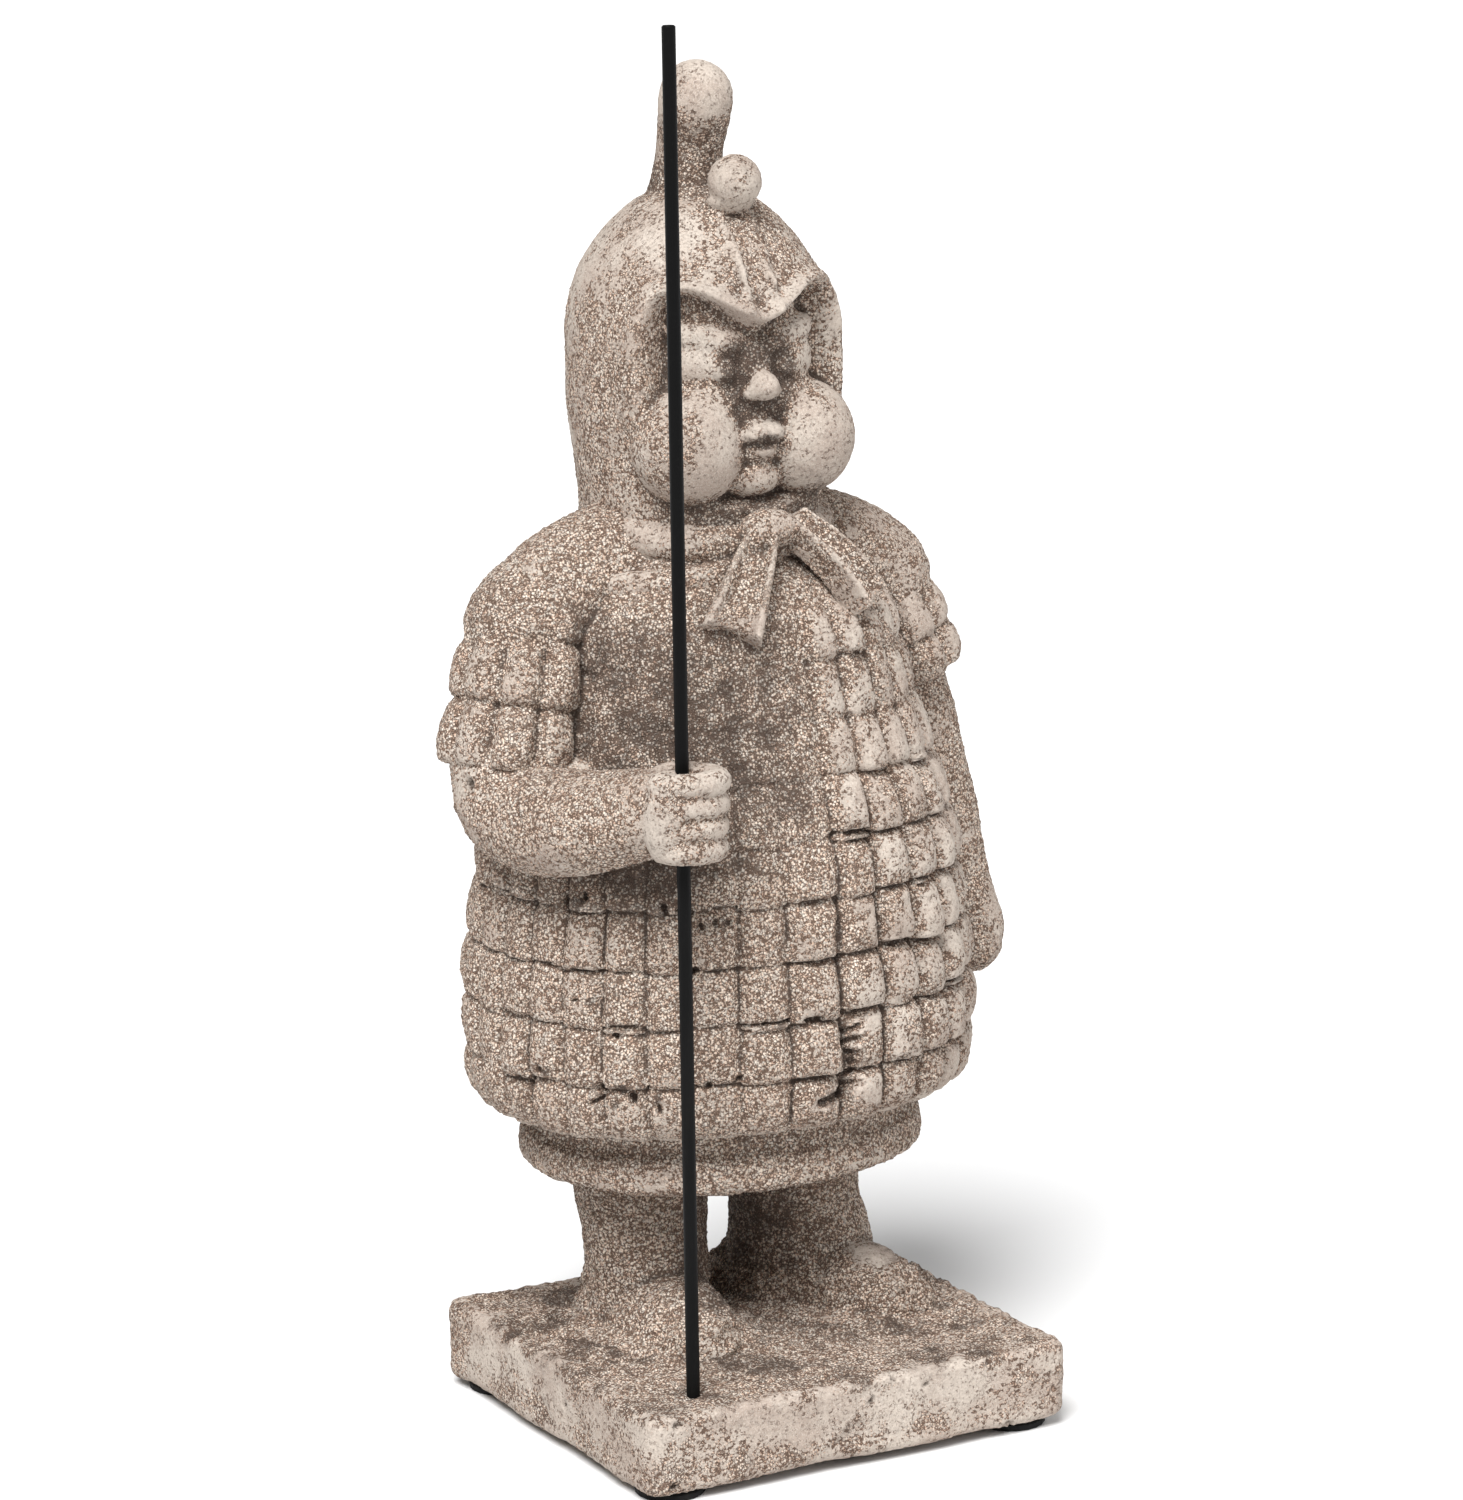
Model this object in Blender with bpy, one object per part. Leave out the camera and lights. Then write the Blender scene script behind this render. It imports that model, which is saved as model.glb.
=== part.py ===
"""Cast cement figurine of an armoured soldier on a square slab, with a loose steel rod and rubber feet.

The figure faces -Y and its right hand, on the -X side, holds the rod. Metres, +Z up. The origin is on
the ground, under the middle of the object's bounding box.
"""

import math

import bmesh
import bpy
from mathutils import Matrix, Vector

# Driving sizes of the made object, in metres.
FIGURE_HEIGHT = 0.428
SLAB_WIDTH = 0.160
SLAB_DEPTH = 0.152
SLAB_THICKNESS = 0.027
SLAB_CORNER_RADIUS = 0.006
SLAB_EDGE_RADIUS = 0.0035
STANCE_BACK = 0.020
FOOT_PAD_DIAMETER = 0.0235
FOOT_PAD_HEIGHT = 0.003
FOOT_PAD_BEVEL = 0.0006
FOOT_PAD_INSET = 0.0145
ROD_DIAMETER = 0.0045
ROD_ABOVE_SLAB = 0.447
ROD_SOCKET_DEPTH = 0.012
ROD_CLEARANCE = 0.0004
ROD_CHAMFER = 0.0005
TOUCHING_GAP = 0.0003

# The figure's form is given in shares of its height: one unit is one millimetre at this height.
DESIGN_HEIGHT = 428
UNIT = FIGURE_HEIGHT / DESIGN_HEIGHT
COAT_DEPTH_SHARE = 0.82
COAT_WIDEST = 88
COAT_LIP = 2.4

# Where the slab and the figure stand, so that the bounding box is centred on the origin.
COAT_BACK_REACH = STANCE_BACK + (COAT_WIDEST * COAT_DEPTH_SHARE + COAT_LIP) * UNIT
ARM_REACH_RIGHT = 105 * UNIT
ARM_REACH_LEFT = 110 * UNIT
SLAB_CENTRE_X = (ARM_REACH_RIGHT - ARM_REACH_LEFT) / 2
SLAB_CENTRE_Y = (SLAB_DEPTH / 2 - COAT_BACK_REACH) / 2
SLAB_TOP = FOOT_PAD_HEIGHT + SLAB_THICKNESS
FIGURE_ORIGIN = Vector((SLAB_CENTRE_X, SLAB_CENTRE_Y + STANCE_BACK, SLAB_TOP))

# The rod stands in front of the belly, through the right fist.
ROD_PLACE = (-55, -79)
FIST_HEIGHT = 196

CEMENT = (0.50, 0.43, 0.375)
BLACK_STEEL = (0.012, 0.012, 0.013)
BLACK_RUBBER = (0.010, 0.010, 0.010)


def clear_scene():
    for obj in list(bpy.data.objects):
        bpy.data.objects.remove(obj)


def material(name, colour, roughness, metallic):
    made = bpy.data.materials.new(name)
    made.use_nodes = True
    shader = made.node_tree.nodes["Principled BSDF"]
    shader.inputs["Base Color"].default_value = (*colour, 1)
    shader.inputs["Roughness"].default_value = roughness
    shader.inputs["Metallic"].default_value = metallic
    return made


def figure_point(x, y, z):
    """A point of the figure's form, given in units from the middle of its coat on the slab's top."""
    return FIGURE_ORIGIN + Vector((x, y, z)) * UNIT


def rod_point(z):
    return Vector((FIGURE_ORIGIN.x + ROD_PLACE[0] * UNIT, FIGURE_ORIGIN.y + ROD_PLACE[1] * UNIT, z))


def object_from(name, bm, hidden=False):
    bmesh.ops.recalc_face_normals(bm, faces=bm.faces[:])
    mesh = bpy.data.meshes.new(name)
    bm.to_mesh(mesh)
    bm.free()
    obj = bpy.data.objects.new(name, mesh)
    bpy.context.scene.collection.objects.link(obj)
    if hidden:
        obj.hide_render = True
        obj.display_type = "WIRE"
    return obj


def smooth_value(stations, at):
    """The value at a place along stations of (place, value), on a curve that passes through them all."""
    at = min(max(at, stations[0][0]), stations[-1][0])
    last = len(stations) - 2
    index = next((i for i in range(last) if at < stations[i + 1][0]), last)

    def slope(i):
        low, high = stations[max(i - 1, 0)], stations[min(i + 1, len(stations) - 1)]
        return (high[1] - low[1]) / (high[0] - low[0])

    (start, first), (end, second) = stations[index], stations[index + 1]
    span = end - start
    t = (at - start) / span
    return (
        (2 * t**3 - 3 * t**2 + 1) * first
        + (t**3 - 2 * t**2 + t) * span * slope(index)
        + (3 * t**2 - 2 * t**3) * second
        + (t**3 - t**2) * span * slope(index + 1)
    )


def smoothstep(low, high, value):
    t = min(max((value - low) / (high - low), 0), 1)
    return t * t * (3 - 2 * t)


def loft(name, rings):
    """A closed solid through rings of figure points. Every ring has the same count, and both ends are capped."""
    bm = bmesh.new()
    loops = [[bm.verts.new(figure_point(*point)) for point in ring] for ring in rings]
    for low, high in zip(loops, loops[1:]):
        for i in range(len(low)):
            j = (i + 1) % len(low)
            bm.faces.new((low[i], low[j], high[j], high[i]))
    bm.faces.new(loops[0])
    bm.faces.new(loops[-1])
    return object_from(name, bm, hidden=True)


def ellipse_point(angle, half_width, half_depth, power=2.0):
    """A point of a superellipse. Angle 0 is the front, -Y, and a quarter turn is +X."""
    s, c = math.sin(angle), -math.cos(angle)
    x = half_width * math.copysign(abs(s) ** (2 / power), s)
    y = half_depth * math.copysign(abs(c) ** (2 / power), c)
    return x, y


def blob(name, centre, radii, turn=(0, 0, 0), sides=16, rings=10):
    """An egg-shaped lump: radii along X, Y and Z, then turned by degrees about X, Y and Z."""
    bm = bmesh.new()
    bmesh.ops.create_uvsphere(bm, u_segments=sides, v_segments=rings, radius=1)
    turned = Matrix.Identity(4)
    for degrees, axis in zip(turn, "XYZ"):
        turned = Matrix.Rotation(math.radians(degrees), 4, axis) @ turned
    placed = Matrix.Translation(figure_point(*centre)) @ turned
    bmesh.ops.transform(bm, matrix=placed @ Matrix.Diagonal((*radii, 1 / UNIT)) * UNIT, verts=bm.verts)
    return object_from(name, bm, hidden=True)


def limb(name, stations, sides=12, end_steps=3):
    """A round bar through stations of (x, y, z, radius), with round ends."""
    centres = [Vector(s[:3]) for s in stations]
    radii = [s[3] for s in stations]
    directions = []
    for i in range(len(centres)):
        before, after = centres[max(i - 1, 0)], centres[min(i + 1, len(centres) - 1)]
        directions.append((after - before).normalized())
    full = list(zip(centres, directions, radii))

    def round_end(centre, direction, radius, outward):
        for step in range(end_steps):
            lift = math.radians(90 * (step + 0.35) / end_steps)
            yield (centre + direction * outward * radius * math.cos(lift), direction, radius * math.sin(lift))

    start = list(round_end(*full[0], -1))
    finish = list(round_end(*full[-1], 1))
    rings = []
    across = Vector((0, 0, 1)).cross(directions[0])
    if across.length < 0.2:
        across = Vector((1, 0, 0))
    for centre, direction, radius in [*start, *full, *reversed(finish)]:
        across = (across - direction * across.dot(direction)).normalized()
        other = direction.cross(across)
        rings.append([
            centre + (across * math.cos(a) + other * math.sin(a)) * radius
            for a in (2 * math.pi * k / sides for k in range(sides))
        ])
    return loft(name, rings)


# The armoured coat: rows of square plates, each row's lower edge standing over the row below.
COAT_HEM = 80
COAT_ROWS = 9
COAT_ROW_HEIGHT = 19.4
COAT_COLUMNS = 32
COAT_COLUMN_SHIFT = 0.42
PLATE_GROOVE_DEPTH = 1.7
PLATE_GROOVE_HALF = 1.3
COAT_PROFILE = [
    (80, 82.5), (86, 85.5), (97, 87.5), (114, COAT_WIDEST), (133, 86.5), (150, 84.5), (165, 82), (179, 79),
    (200, 73), (221, 67), (236, 63.5), (249, 59.5), (258, 53), (265, 44), (271, 34),
]
FRONT_LAP_ANGLE = math.radians(7)
FRONT_LAP_HEIGHT = 1.4


def coat_radius(z):
    return smooth_value(COAT_PROFILE, z)


def plate_angles(columns, radius, shift=0.5):
    """Three places for each plate: both edges of the groove beside it and the groove's floor."""
    half = PLATE_GROOVE_HALF / radius
    for k in range(columns):
        groove = 2 * math.pi * (k + shift) / columns
        yield groove - half, False
        yield groove, True
        yield groove + half, False


def front_lap(angle, z):
    """The coat's left front lies over its right front, so it stands a little proud on the chest."""
    side = smoothstep(0, math.radians(2), angle - FRONT_LAP_ANGLE) * smoothstep(0, 0.5, math.radians(70) - angle)
    return FRONT_LAP_HEIGHT * side * smoothstep(150, 165, z) * smoothstep(260, 245, z)


def coat_ring(z, proud, groove):
    radius = coat_radius(z)
    ring = []
    for angle, is_floor in plate_angles(COAT_COLUMNS, COAT_WIDEST, COAT_COLUMN_SHIFT):
        out = proud + front_lap(angle, z) - (groove if is_floor else 0)
        ring.append((*ellipse_point(angle, radius + out, radius * COAT_DEPTH_SHARE + out, 2.15), z))
    return ring


def coat():
    rings = []
    for row in range(COAT_ROWS):
        low = COAT_HEM + row * COAT_ROW_HEIGHT
        rings.append(coat_ring(low, COAT_LIP, PLATE_GROOVE_DEPTH))
        rings.append(coat_ring(low + COAT_ROW_HEIGHT, 0, PLATE_GROOVE_DEPTH))
    yoke_low = COAT_HEM + COAT_ROWS * COAT_ROW_HEIGHT
    rings.append(coat_ring(yoke_low, COAT_LIP * 0.6, 0.4))
    for z in (262, 269):
        rings.append(coat_ring(z, 0, 0))
    return loft("coat_form", rings)


def robe_hem():
    """The cloth robe that shows as a short band below the coat."""
    rings = []
    for z, radius in ((57, 67), (59, 69.5), (66, 70.5), (80, 71)):
        rings.append([
            (*ellipse_point(2 * math.pi * (k + 0.4) / 40, radius, radius * 0.84, 2.1), z) for k in range(40)
        ])
    return loft("robe_hem_form", rings)


# Short sleeves of plates over the upper arms: the middle line, the radius and the rows.
SLEEVE_COLUMNS = 12
SLEEVE_LIP = 2.6
RIGHT_SLEEVE = {
    "top": (-68, -1, 250), "hem": (-79.5, -6, 200), "radius": (20, 23.4), "rows": (-0.10, 0.14, 0.57, 1.0),
}
LEFT_SLEEVE = {
    "top": (60, 1, 250), "hem": (72, 2, 215), "radius": (17.5, 22.6), "rows": (-0.22, 0.06, 0.58, 1.0),
}


def sleeve(name, top, hem, radius, rows):
    """Three rows of plates on a cone that widens downwards, under a round shoulder cap."""
    start, end = Vector(top), Vector(hem)
    line = end - start
    along = line.normalized()
    across = Vector((0, 1, 0)).cross(along).normalized()
    other = along.cross(across)

    def ring(share, size, groove):
        points = []
        for angle, is_floor in plate_angles(SLEEVE_COLUMNS, radius[1]):
            r = size - (groove if is_floor else 0)
            points.append(start + line * share + (across * math.cos(angle) + other * math.sin(angle)) * r)
        return points

    cap_top = rows[0] - 0.24
    rings = [ring(cap_top, radius[0] * 0.35, 0), ring(cap_top + 0.08, radius[0] * 0.70, 0)]
    for k, (low, high) in enumerate(zip(rows, rows[1:])):
        widths = [radius[0] + (radius[1] - radius[0]) * smoothstep(-0.2, 0.8, share) for share in (low, high)]
        rings.append(ring(low, widths[0] * (1 if k else 0.94), PLATE_GROOVE_DEPTH))
        rings.append(ring(high, widths[1] + SLEEVE_LIP, PLATE_GROOVE_DEPTH))
    return loft(name, rings)


def shoulders():
    """The slope from the neck down to both shoulder points."""
    return limb(
        "shoulders_form",
        [(-71, -1, 246, 20.5), (-62, 0, 252.5, 20.5), (-50, 2, 258, 21), (-25, 4, 264, 22.5), (0, 5, 265, 22),
         (25, 4, 264, 22), (50, 1, 257.5, 20.5), (63, 0, 249.5, 19.3)],
    )


def nape():
    """Fills the bend between the back of the hood and the coat."""
    return blob("nape_form", (0, 17, 254), (52, 34, 24), sides=18, rings=10)


def arms():
    right = limb(
        "right_arm_form",
        [(-72, 0, 236, 17), (-81, -5, 212, 17.5), (-83.8, -12, 193, 18.2), (-82, -25, 187.5, 18),
         (-77, -40, 188, 17.6), (-70, -54, 191, 16.2), (-62, -68, 194.5, 14.6), (-59, -75, 196, 13)],
    )
    left = limb(
        "left_arm_form",
        [(64, 4, 238, 16), (77, 3, 205, 15.5), (82, 2, 186, 14.6), (88, 2, 165, 14.2), (91, 1, 150, 13.3),
         (94, 0, 137, 13), (97.5, -3, 123, 12.5), (97.5, -4, 117.5, 11.6)],
    )
    armpit = blob("armpit_form", (-66, -25, 196), (8.5, 11, 10), sides=12, rings=8)
    return [right, left, armpit]


FINGER_RADIUS = 4.2
FINGER_COUNT = 4
FINGER_PITCH = 7.1
FINGER_PATH = [(-10, -3), (-6.5, -8.5), (1, -10.5), (7.5, -9), (11, -4), (9.5, 4), (5, 7)]


def fist():
    """The right hand's four fingers round the rod, with the palm and thumb behind it."""
    rod_x, rod_y = ROD_PLACE
    parts = [blob("palm_form", (rod_x - 3, rod_y + 3, FIST_HEIGHT), (11.5, 10, 14.2), (0, 0, -20), 12, 8)]
    for k in range(FINGER_COUNT):
        z = FIST_HEIGHT + FINGER_PITCH * ((FINGER_COUNT - 1) / 2 - k)
        shorter = 1 - 0.035 * k
        path = [(rod_x + x * shorter, rod_y + y * shorter, z, FINGER_RADIUS) for x, y in FINGER_PATH]
        parts.append(limb(f"finger_form_{k}", path, sides=8, end_steps=2))
    thumb = [(-9, 6, 6, 5), (-2, 8, 10.5, 4.8), (6, 4, 11.5, 4.2)]
    parts.append(limb(
        "thumb_form", [(rod_x + x, rod_y + y, FIST_HEIGHT + z, r) for x, y, z, r in thumb], sides=8, end_steps=2,
    ))
    return parts


RIGHT_LEG = [(-29, 6, 62, 23), (-28.5, 6, 45, 22.6), (-28, 5, 30, 21.3), (-27.5, 5, 16, 21), (-27.5, 5, 4, 22)]
LEFT_LEG = [(30, 6, 62, 24), (30.5, 6, 45, 23.5), (31, 5, 33, 23), (32, 4, 21, 25), (33, 4, 7, 26.5)]
SHOE_SPREAD = 28
SHOE_LENGTHWAYS = [(-12, 17), (6, 20), (20, 19), (34, 17.5), (42, 14)]
RIGHT_SHOE = {"turn": 2, "lift": 1}
LEFT_SHOE = {"turn": 27, "lift": 3}


def leg_and_shoe(name, side, leg, turn, lift):
    """One trouser leg, running down into a blunt shoe whose toe turns out by some degrees."""
    toe_x, toe_y = math.sin(math.radians(turn)) * side, -math.cos(math.radians(turn))
    sole_line = [
        (side * SHOE_SPREAD + toe_x * distance, 6 + toe_y * distance, lift, radius)
        for distance, radius in SHOE_LENGTHWAYS
    ]
    return [
        limb(f"{name}_leg_form", leg, sides=15, end_steps=2),
        limb(f"{name}_shoe_form", sole_line, sides=14, end_steps=2),
    ]


def scarf():
    """A roll of cloth round the neck, knotted in front, with two tails on the chest."""
    rings = []
    sides, turns = 7, 24
    bm = bmesh.new()
    for k in range(turns):
        angle = 2 * math.pi * k / turns
        lower = 0.5 + 0.5 * math.cos(angle)
        x, y = ellipse_point(angle, 37, 34.5)
        height = 277 - 5 * lower
        out = Vector((x, y, 0)).normalized()
        ring = []
        for j in range(sides):
            tilt = 2 * math.pi * j / sides
            place = Vector((x, y + 3, height)) + out * 6 * math.cos(tilt) + Vector((0, 0, 7.5 * math.sin(tilt)))
            ring.append(bm.verts.new(figure_point(*place)))
        rings.append(ring)
    for k in range(turns):
        near, far = rings[k], rings[(k + 1) % turns]
        for j in range(sides):
            n = (j + 1) % sides
            bm.faces.new((near[j], near[n], far[n], far[j]))
    roll = object_from("scarf_roll_form", bm, hidden=True)
    knot = blob("scarf_knot_form", (2, -37, 277), (11, 6.5, 6.5), (0, 8, 0), sides=12, rings=8)
    return [roll, knot, scarf_tail("right", -1), scarf_tail("left", 1)]


TAIL_HALF_WIDTHS = {"right": (5.0, 7.5, 9.0, 10.0), "left": (5.5, 6.5, 7.0, 7.0)}
TAIL_ENDS = {
    "right": ((0, -38, 278), (-21.5, -52.5, 246)),
    "left": ((11, -37, 280), (34, -49.5, 252)),
}


def scarf_tail(name, side):
    """A flat tail that widens downwards, with both edges turned up, lying on the chest."""
    top, bottom = (Vector(end) for end in TAIL_ENDS[name])
    line = bottom - top
    outward = Vector((side * 0.36, -0.80, 0.48)).normalized()
    across = line.cross(outward).normalized()
    section = [(-1, -9), (-1, 2.9), (-0.72, 3.3), (-0.38, 0.9), (0.38, 0.9), (0.72, 3.3), (1, 2.9), (1, -9)]
    rings = []
    widths = TAIL_HALF_WIDTHS[name]
    for k, half in enumerate(widths):
        share = k / (len(widths) - 1)
        bend = 3.0 * math.sin(math.pi * share)
        middle = top + line * share + outward * bend
        rings.append([middle + across * half * w + outward * d for w, d in section])
    return loft(f"{name}_scarf_tail_form", rings)


# The head: a hood that covers all but the face, with a raised rim round the face.
HEAD_MIDDLE_Y = 7.5
HOOD_PROFILE = [
    (256, 36), (270, 39.5), (283, 39.8), (290, 40.4), (297, 41.2), (303, 42), (310, 42.8), (317, 43.4),
    (330, 43.3), (344, 42.8), (357, 39.6), (364, 36), (370, 31.6), (377, 25), (382, 18.5), (387, 10),
]
HOOD_DEPTH_SHARE = 1.05
RIM_HEIGHT = 3.6
RIM_HALF = 2.6
FACE_RECESS = 6.0
HALF_FACE_OUTLINE = [
    (0, 346), (9, 351), (18, 357), (26, 358.5), (32.5, 354), (36.5, 342), (37, 328), (35.5, 316),
    (36.5, 306), (33, 294), (24, 286), (10, 283), (0, 282),
]
HEAD_COLUMNS = 112
HEAD_ROWS = 64
HEAD_SHARE_KEPT = 0.022


def outline_distance(x, z):
    """How far a place in front view is from the face opening's edge, and whether it lies inside."""
    outline = HALF_FACE_OUTLINE + [(-px, pz) for px, pz in reversed(HALF_FACE_OUTLINE[1:-1])]
    nearest, inside = 1e9, False
    for (ax, az), (bx, bz) in zip(outline, outline[1:] + outline[:1]):
        dx, dz = bx - ax, bz - az
        t = min(max(((x - ax) * dx + (z - az) * dz) / (dx * dx + dz * dz), 0), 1)
        nearest = min(nearest, math.hypot(x - ax - t * dx, z - az - t * dz))
        if (az > z) != (bz > z) and x < ax + (z - az) * dx / dz:
            inside = not inside
    return nearest, inside


def hood_relief(x, z):
    """How far the hood's front stands out of its plain form: the rim, the sunken face and the crest band."""
    distance, inside = outline_distance(x, z)
    brow = smoothstep(312, 340, z)
    relief = RIM_HEIGHT * (0.35 + 0.65 * brow) * math.exp(-((distance / RIM_HALF) ** 2))
    if inside:
        relief -= FACE_RECESS * smoothstep(0, 4.5, distance)
    band = smoothstep(344, 350, z) * smoothstep(388, 380, z)
    relief += band * (1.2 * smoothstep(7, 5.5, abs(x)) + 1.0 * math.exp(-(((abs(x) - 5.2) / 1.3) ** 2)))
    return relief


def hood():
    rings = []
    low, high = HOOD_PROFILE[0][0], HOOD_PROFILE[-1][0]
    for row in range(HEAD_ROWS + 1):
        z = low + (high - low) * row / HEAD_ROWS
        radius = smooth_value(HOOD_PROFILE, z)
        ring = []
        for k in range(HEAD_COLUMNS):
            angle = 2 * math.pi * k / HEAD_COLUMNS
            x, y = ellipse_point(angle, radius, radius * HOOD_DEPTH_SHARE, 2.1)
            grow = 1 + hood_relief(x, z) / math.hypot(x, y) if y < 0 else 1
            ring.append((x * grow, HEAD_MIDDLE_Y + y * grow, z))
        rings.append(ring)
    return loft("hood_form", rings)


def face_lumps():
    """A plain doll's face: round cheeks, a button nose, small lips and closed lids."""
    parts = [
        blob("nose_tip_form", (0, -38.5, 325), (6.2, 6.5, 5.6), sides=20, rings=12),
        blob("nose_bridge_form", (0, -33.5, 335), (4.2, 5.5, 11), (-12, 0, 0), sides=16, rings=12),
        blob("upper_lip_form", (0, -35.0, 308.5), (6.8, 5.4, 3.1), (12, 0, 0), sides=20, rings=10),
        blob("lower_lip_form", (0, -34.2, 301.8), (5.4, 5.0, 3.2), (-10, 0, 0), sides=20, rings=10),
        blob("chin_form", (0, -30, 292), (10, 8.5, 7.5), sides=20, rings=12),
    ]
    for side in (-1, 1):
        name = "left" if side > 0 else "right"
        parts += [
            blob(f"{name}_cheek_form", (side * 21.5, -23.5, 304.5), (18.5, 18.3, 20), sides=28, rings=18),
            blob(f"{name}_lid_form", (side * 16.5, -30.5, 332), (7.6, 4.6, 4.2), (0, side * -6, side * 24), sides=18, rings=12),
            blob(f"{name}_brow_form", (side * 17, -31.5, 341), (10, 3.8, 3.0), (0, side * -14, side * 26), sides=18, rings=10),
        ]
    return parts


def joined(name, forms):
    """All these forms in one mesh, still overlapping."""
    bm = bmesh.new()
    for form in forms:
        bm.from_mesh(form.data)
        bpy.data.objects.remove(form)
    return object_from(name, bm, hidden=True)


def head():
    """Hood and face melted together as in clay, then thinned to few faces."""
    form = joined("head_form", [hood(), *face_lumps()])
    melt = form.modifiers.new("melt", "REMESH")
    melt.mode = "VOXEL"
    melt.voxel_size = 1.5 * UNIT
    soften = form.modifiers.new("soften", "SMOOTH")
    soften.factor = 0.5
    soften.iterations = 4
    thin = form.modifiers.new("thin", "DECIMATE")
    thin.ratio = HEAD_SHARE_KEPT
    return form


def crest():
    """The hair knot that stands on the hood, bent a little forward, and the round bead before it."""
    knot = limb(
        "hair_knot_form",
        [(0, 13, 375, 17), (0, 12.5, 385, 13), (0, 11.5, 393, 11.5), (0, 9, 403, 11.3), (-0.5, 5.5, 412, 12.3),
         (-0.5, 4.5, 415.5, 12.3)],
        sides=16, end_steps=3,
    )
    bead = blob("bead_form", (0, -18.4, 388), (9.4, 9.4, 9.4), sides=15, rings=10)
    return [knot, bead]


def slab():
    """The square foot plate, its corners and edges rounded."""
    bm = bmesh.new()
    bmesh.ops.create_cube(bm, size=1)
    size = Matrix.Diagonal((SLAB_WIDTH, SLAB_DEPTH, SLAB_THICKNESS, 1))
    middle = Vector((SLAB_CENTRE_X, SLAB_CENTRE_Y, FOOT_PAD_HEIGHT + SLAB_THICKNESS / 2))
    bmesh.ops.transform(bm, matrix=Matrix.Translation(middle) @ size, verts=bm.verts)
    upright = [e for e in bm.edges if abs(e.verts[0].co.z - e.verts[1].co.z) > SLAB_THICKNESS / 2]
    bmesh.ops.bevel(
        bm, geom=upright, offset=SLAB_CORNER_RADIUS, segments=4, profile=0.5, affect="EDGES", material=-1
    )
    flat = [e for e in bm.edges if abs(e.verts[0].co.z - e.verts[1].co.z) < TOUCHING_GAP]
    bmesh.ops.bevel(
        bm, geom=flat, offset=SLAB_EDGE_RADIUS, segments=2, profile=0.5, affect="EDGES", material=-1
    )
    return object_from("soldier_figure", bm)


def bar(name, low, high, radius, chamfer=0.0, sides=32, hidden=False):
    """An upright round bar from one point to another above it, its end edges chamfered."""
    bm = bmesh.new()
    length = (high - low).length
    bmesh.ops.create_cone(
        bm, cap_ends=True, segments=sides, radius1=radius, radius2=radius, depth=length,
        matrix=Matrix.Translation((low + high) / 2),
    )
    if chamfer:
        ends = [e for e in bm.edges if abs(e.verts[0].co.z - e.verts[1].co.z) < chamfer]
        bmesh.ops.bevel(bm, geom=ends, offset=chamfer, segments=1, profile=0.5, affect="EDGES", material=-1)
    return object_from(name, bm, hidden)


def boolean(target, operand, operation):
    """Adds a Boolean with one object, or with all the objects of a collection."""
    made = target.modifiers.new(operation.lower(), "BOOLEAN")
    made.operation = operation
    made.solver = "EXACT"
    if isinstance(operand, bpy.types.Collection):
        made.operand_type = "COLLECTION"
        made.collection = operand
    else:
        made.object = operand


def cast_figure():
    """Everything cast in one: slab, legs, robe, coat, arms, scarf, head and crest, with the rod's bore cut."""
    figure = slab()
    forms = bpy.data.collections.new("forms")
    bpy.context.scene.collection.children.link(forms)
    cast = [
        *leg_and_shoe("right", -1, RIGHT_LEG, **RIGHT_SHOE), *leg_and_shoe("left", 1, LEFT_LEG, **LEFT_SHOE),
        robe_hem(), coat(),
        shoulders(), nape(), sleeve("right_sleeve_form", **RIGHT_SLEEVE), sleeve("left_sleeve_form", **LEFT_SLEEVE),
        *arms(), *fist(), *scarf(), head(), *crest(),
    ]
    for form in cast:
        bpy.context.scene.collection.objects.unlink(form)
        forms.objects.link(form)
    boolean(figure, forms, "UNION")
    bore = ROD_DIAMETER / 2 + ROD_CLEARANCE
    fist_low = SLAB_TOP + (FIST_HEIGHT - 30) * UNIT
    fist_high = SLAB_TOP + (FIST_HEIGHT + 30) * UNIT
    socket_low = SLAB_TOP - ROD_SOCKET_DEPTH
    for name, low, high in (("fist_bore", fist_low, fist_high), ("rod_socket", socket_low, SLAB_TOP + 0.01)):
        cutter = bar(name, rod_point(low), rod_point(high), bore, sides=20, hidden=True)
        boolean(figure, cutter, "DIFFERENCE")
    figure.data.materials.append(material("cement", CEMENT, 0.95, 0))
    figure.data.set_sharp_from_angle(angle=math.radians(35))
    return figure


def rod():
    """The soldier's plain spear shaft: black steel, square cut at the top, standing in its socket."""
    low = SLAB_TOP - ROD_SOCKET_DEPTH + TOUCHING_GAP
    made = bar(
        "spear_rod", rod_point(low), rod_point(SLAB_TOP + ROD_ABOVE_SLAB), ROD_DIAMETER / 2, ROD_CHAMFER, sides=20
    )
    made.data.materials.append(material("black_steel", BLACK_STEEL, 0.35, 0.6))
    return made


def foot_pads():
    """Four stuck-on rubber discs under the slab's corners."""
    rubber = material("rubber", BLACK_RUBBER, 0.6, 0)
    for front in (-1, 1):
        for side in (-1, 1):
            x = SLAB_CENTRE_X + side * (SLAB_WIDTH / 2 - FOOT_PAD_INSET)
            y = SLAB_CENTRE_Y + front * (SLAB_DEPTH / 2 - FOOT_PAD_INSET)
            name = f"rubber_foot_{'front' if front < 0 else 'back'}_{'right' if side < 0 else 'left'}"
            top = FOOT_PAD_HEIGHT - TOUCHING_GAP
            low, high = Vector((x, y, 0)), Vector((x, y, top))
            pad = bar(name, low, high, FOOT_PAD_DIAMETER / 2, FOOT_PAD_BEVEL, sides=20)
            pad.data.materials.append(rubber)


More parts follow.
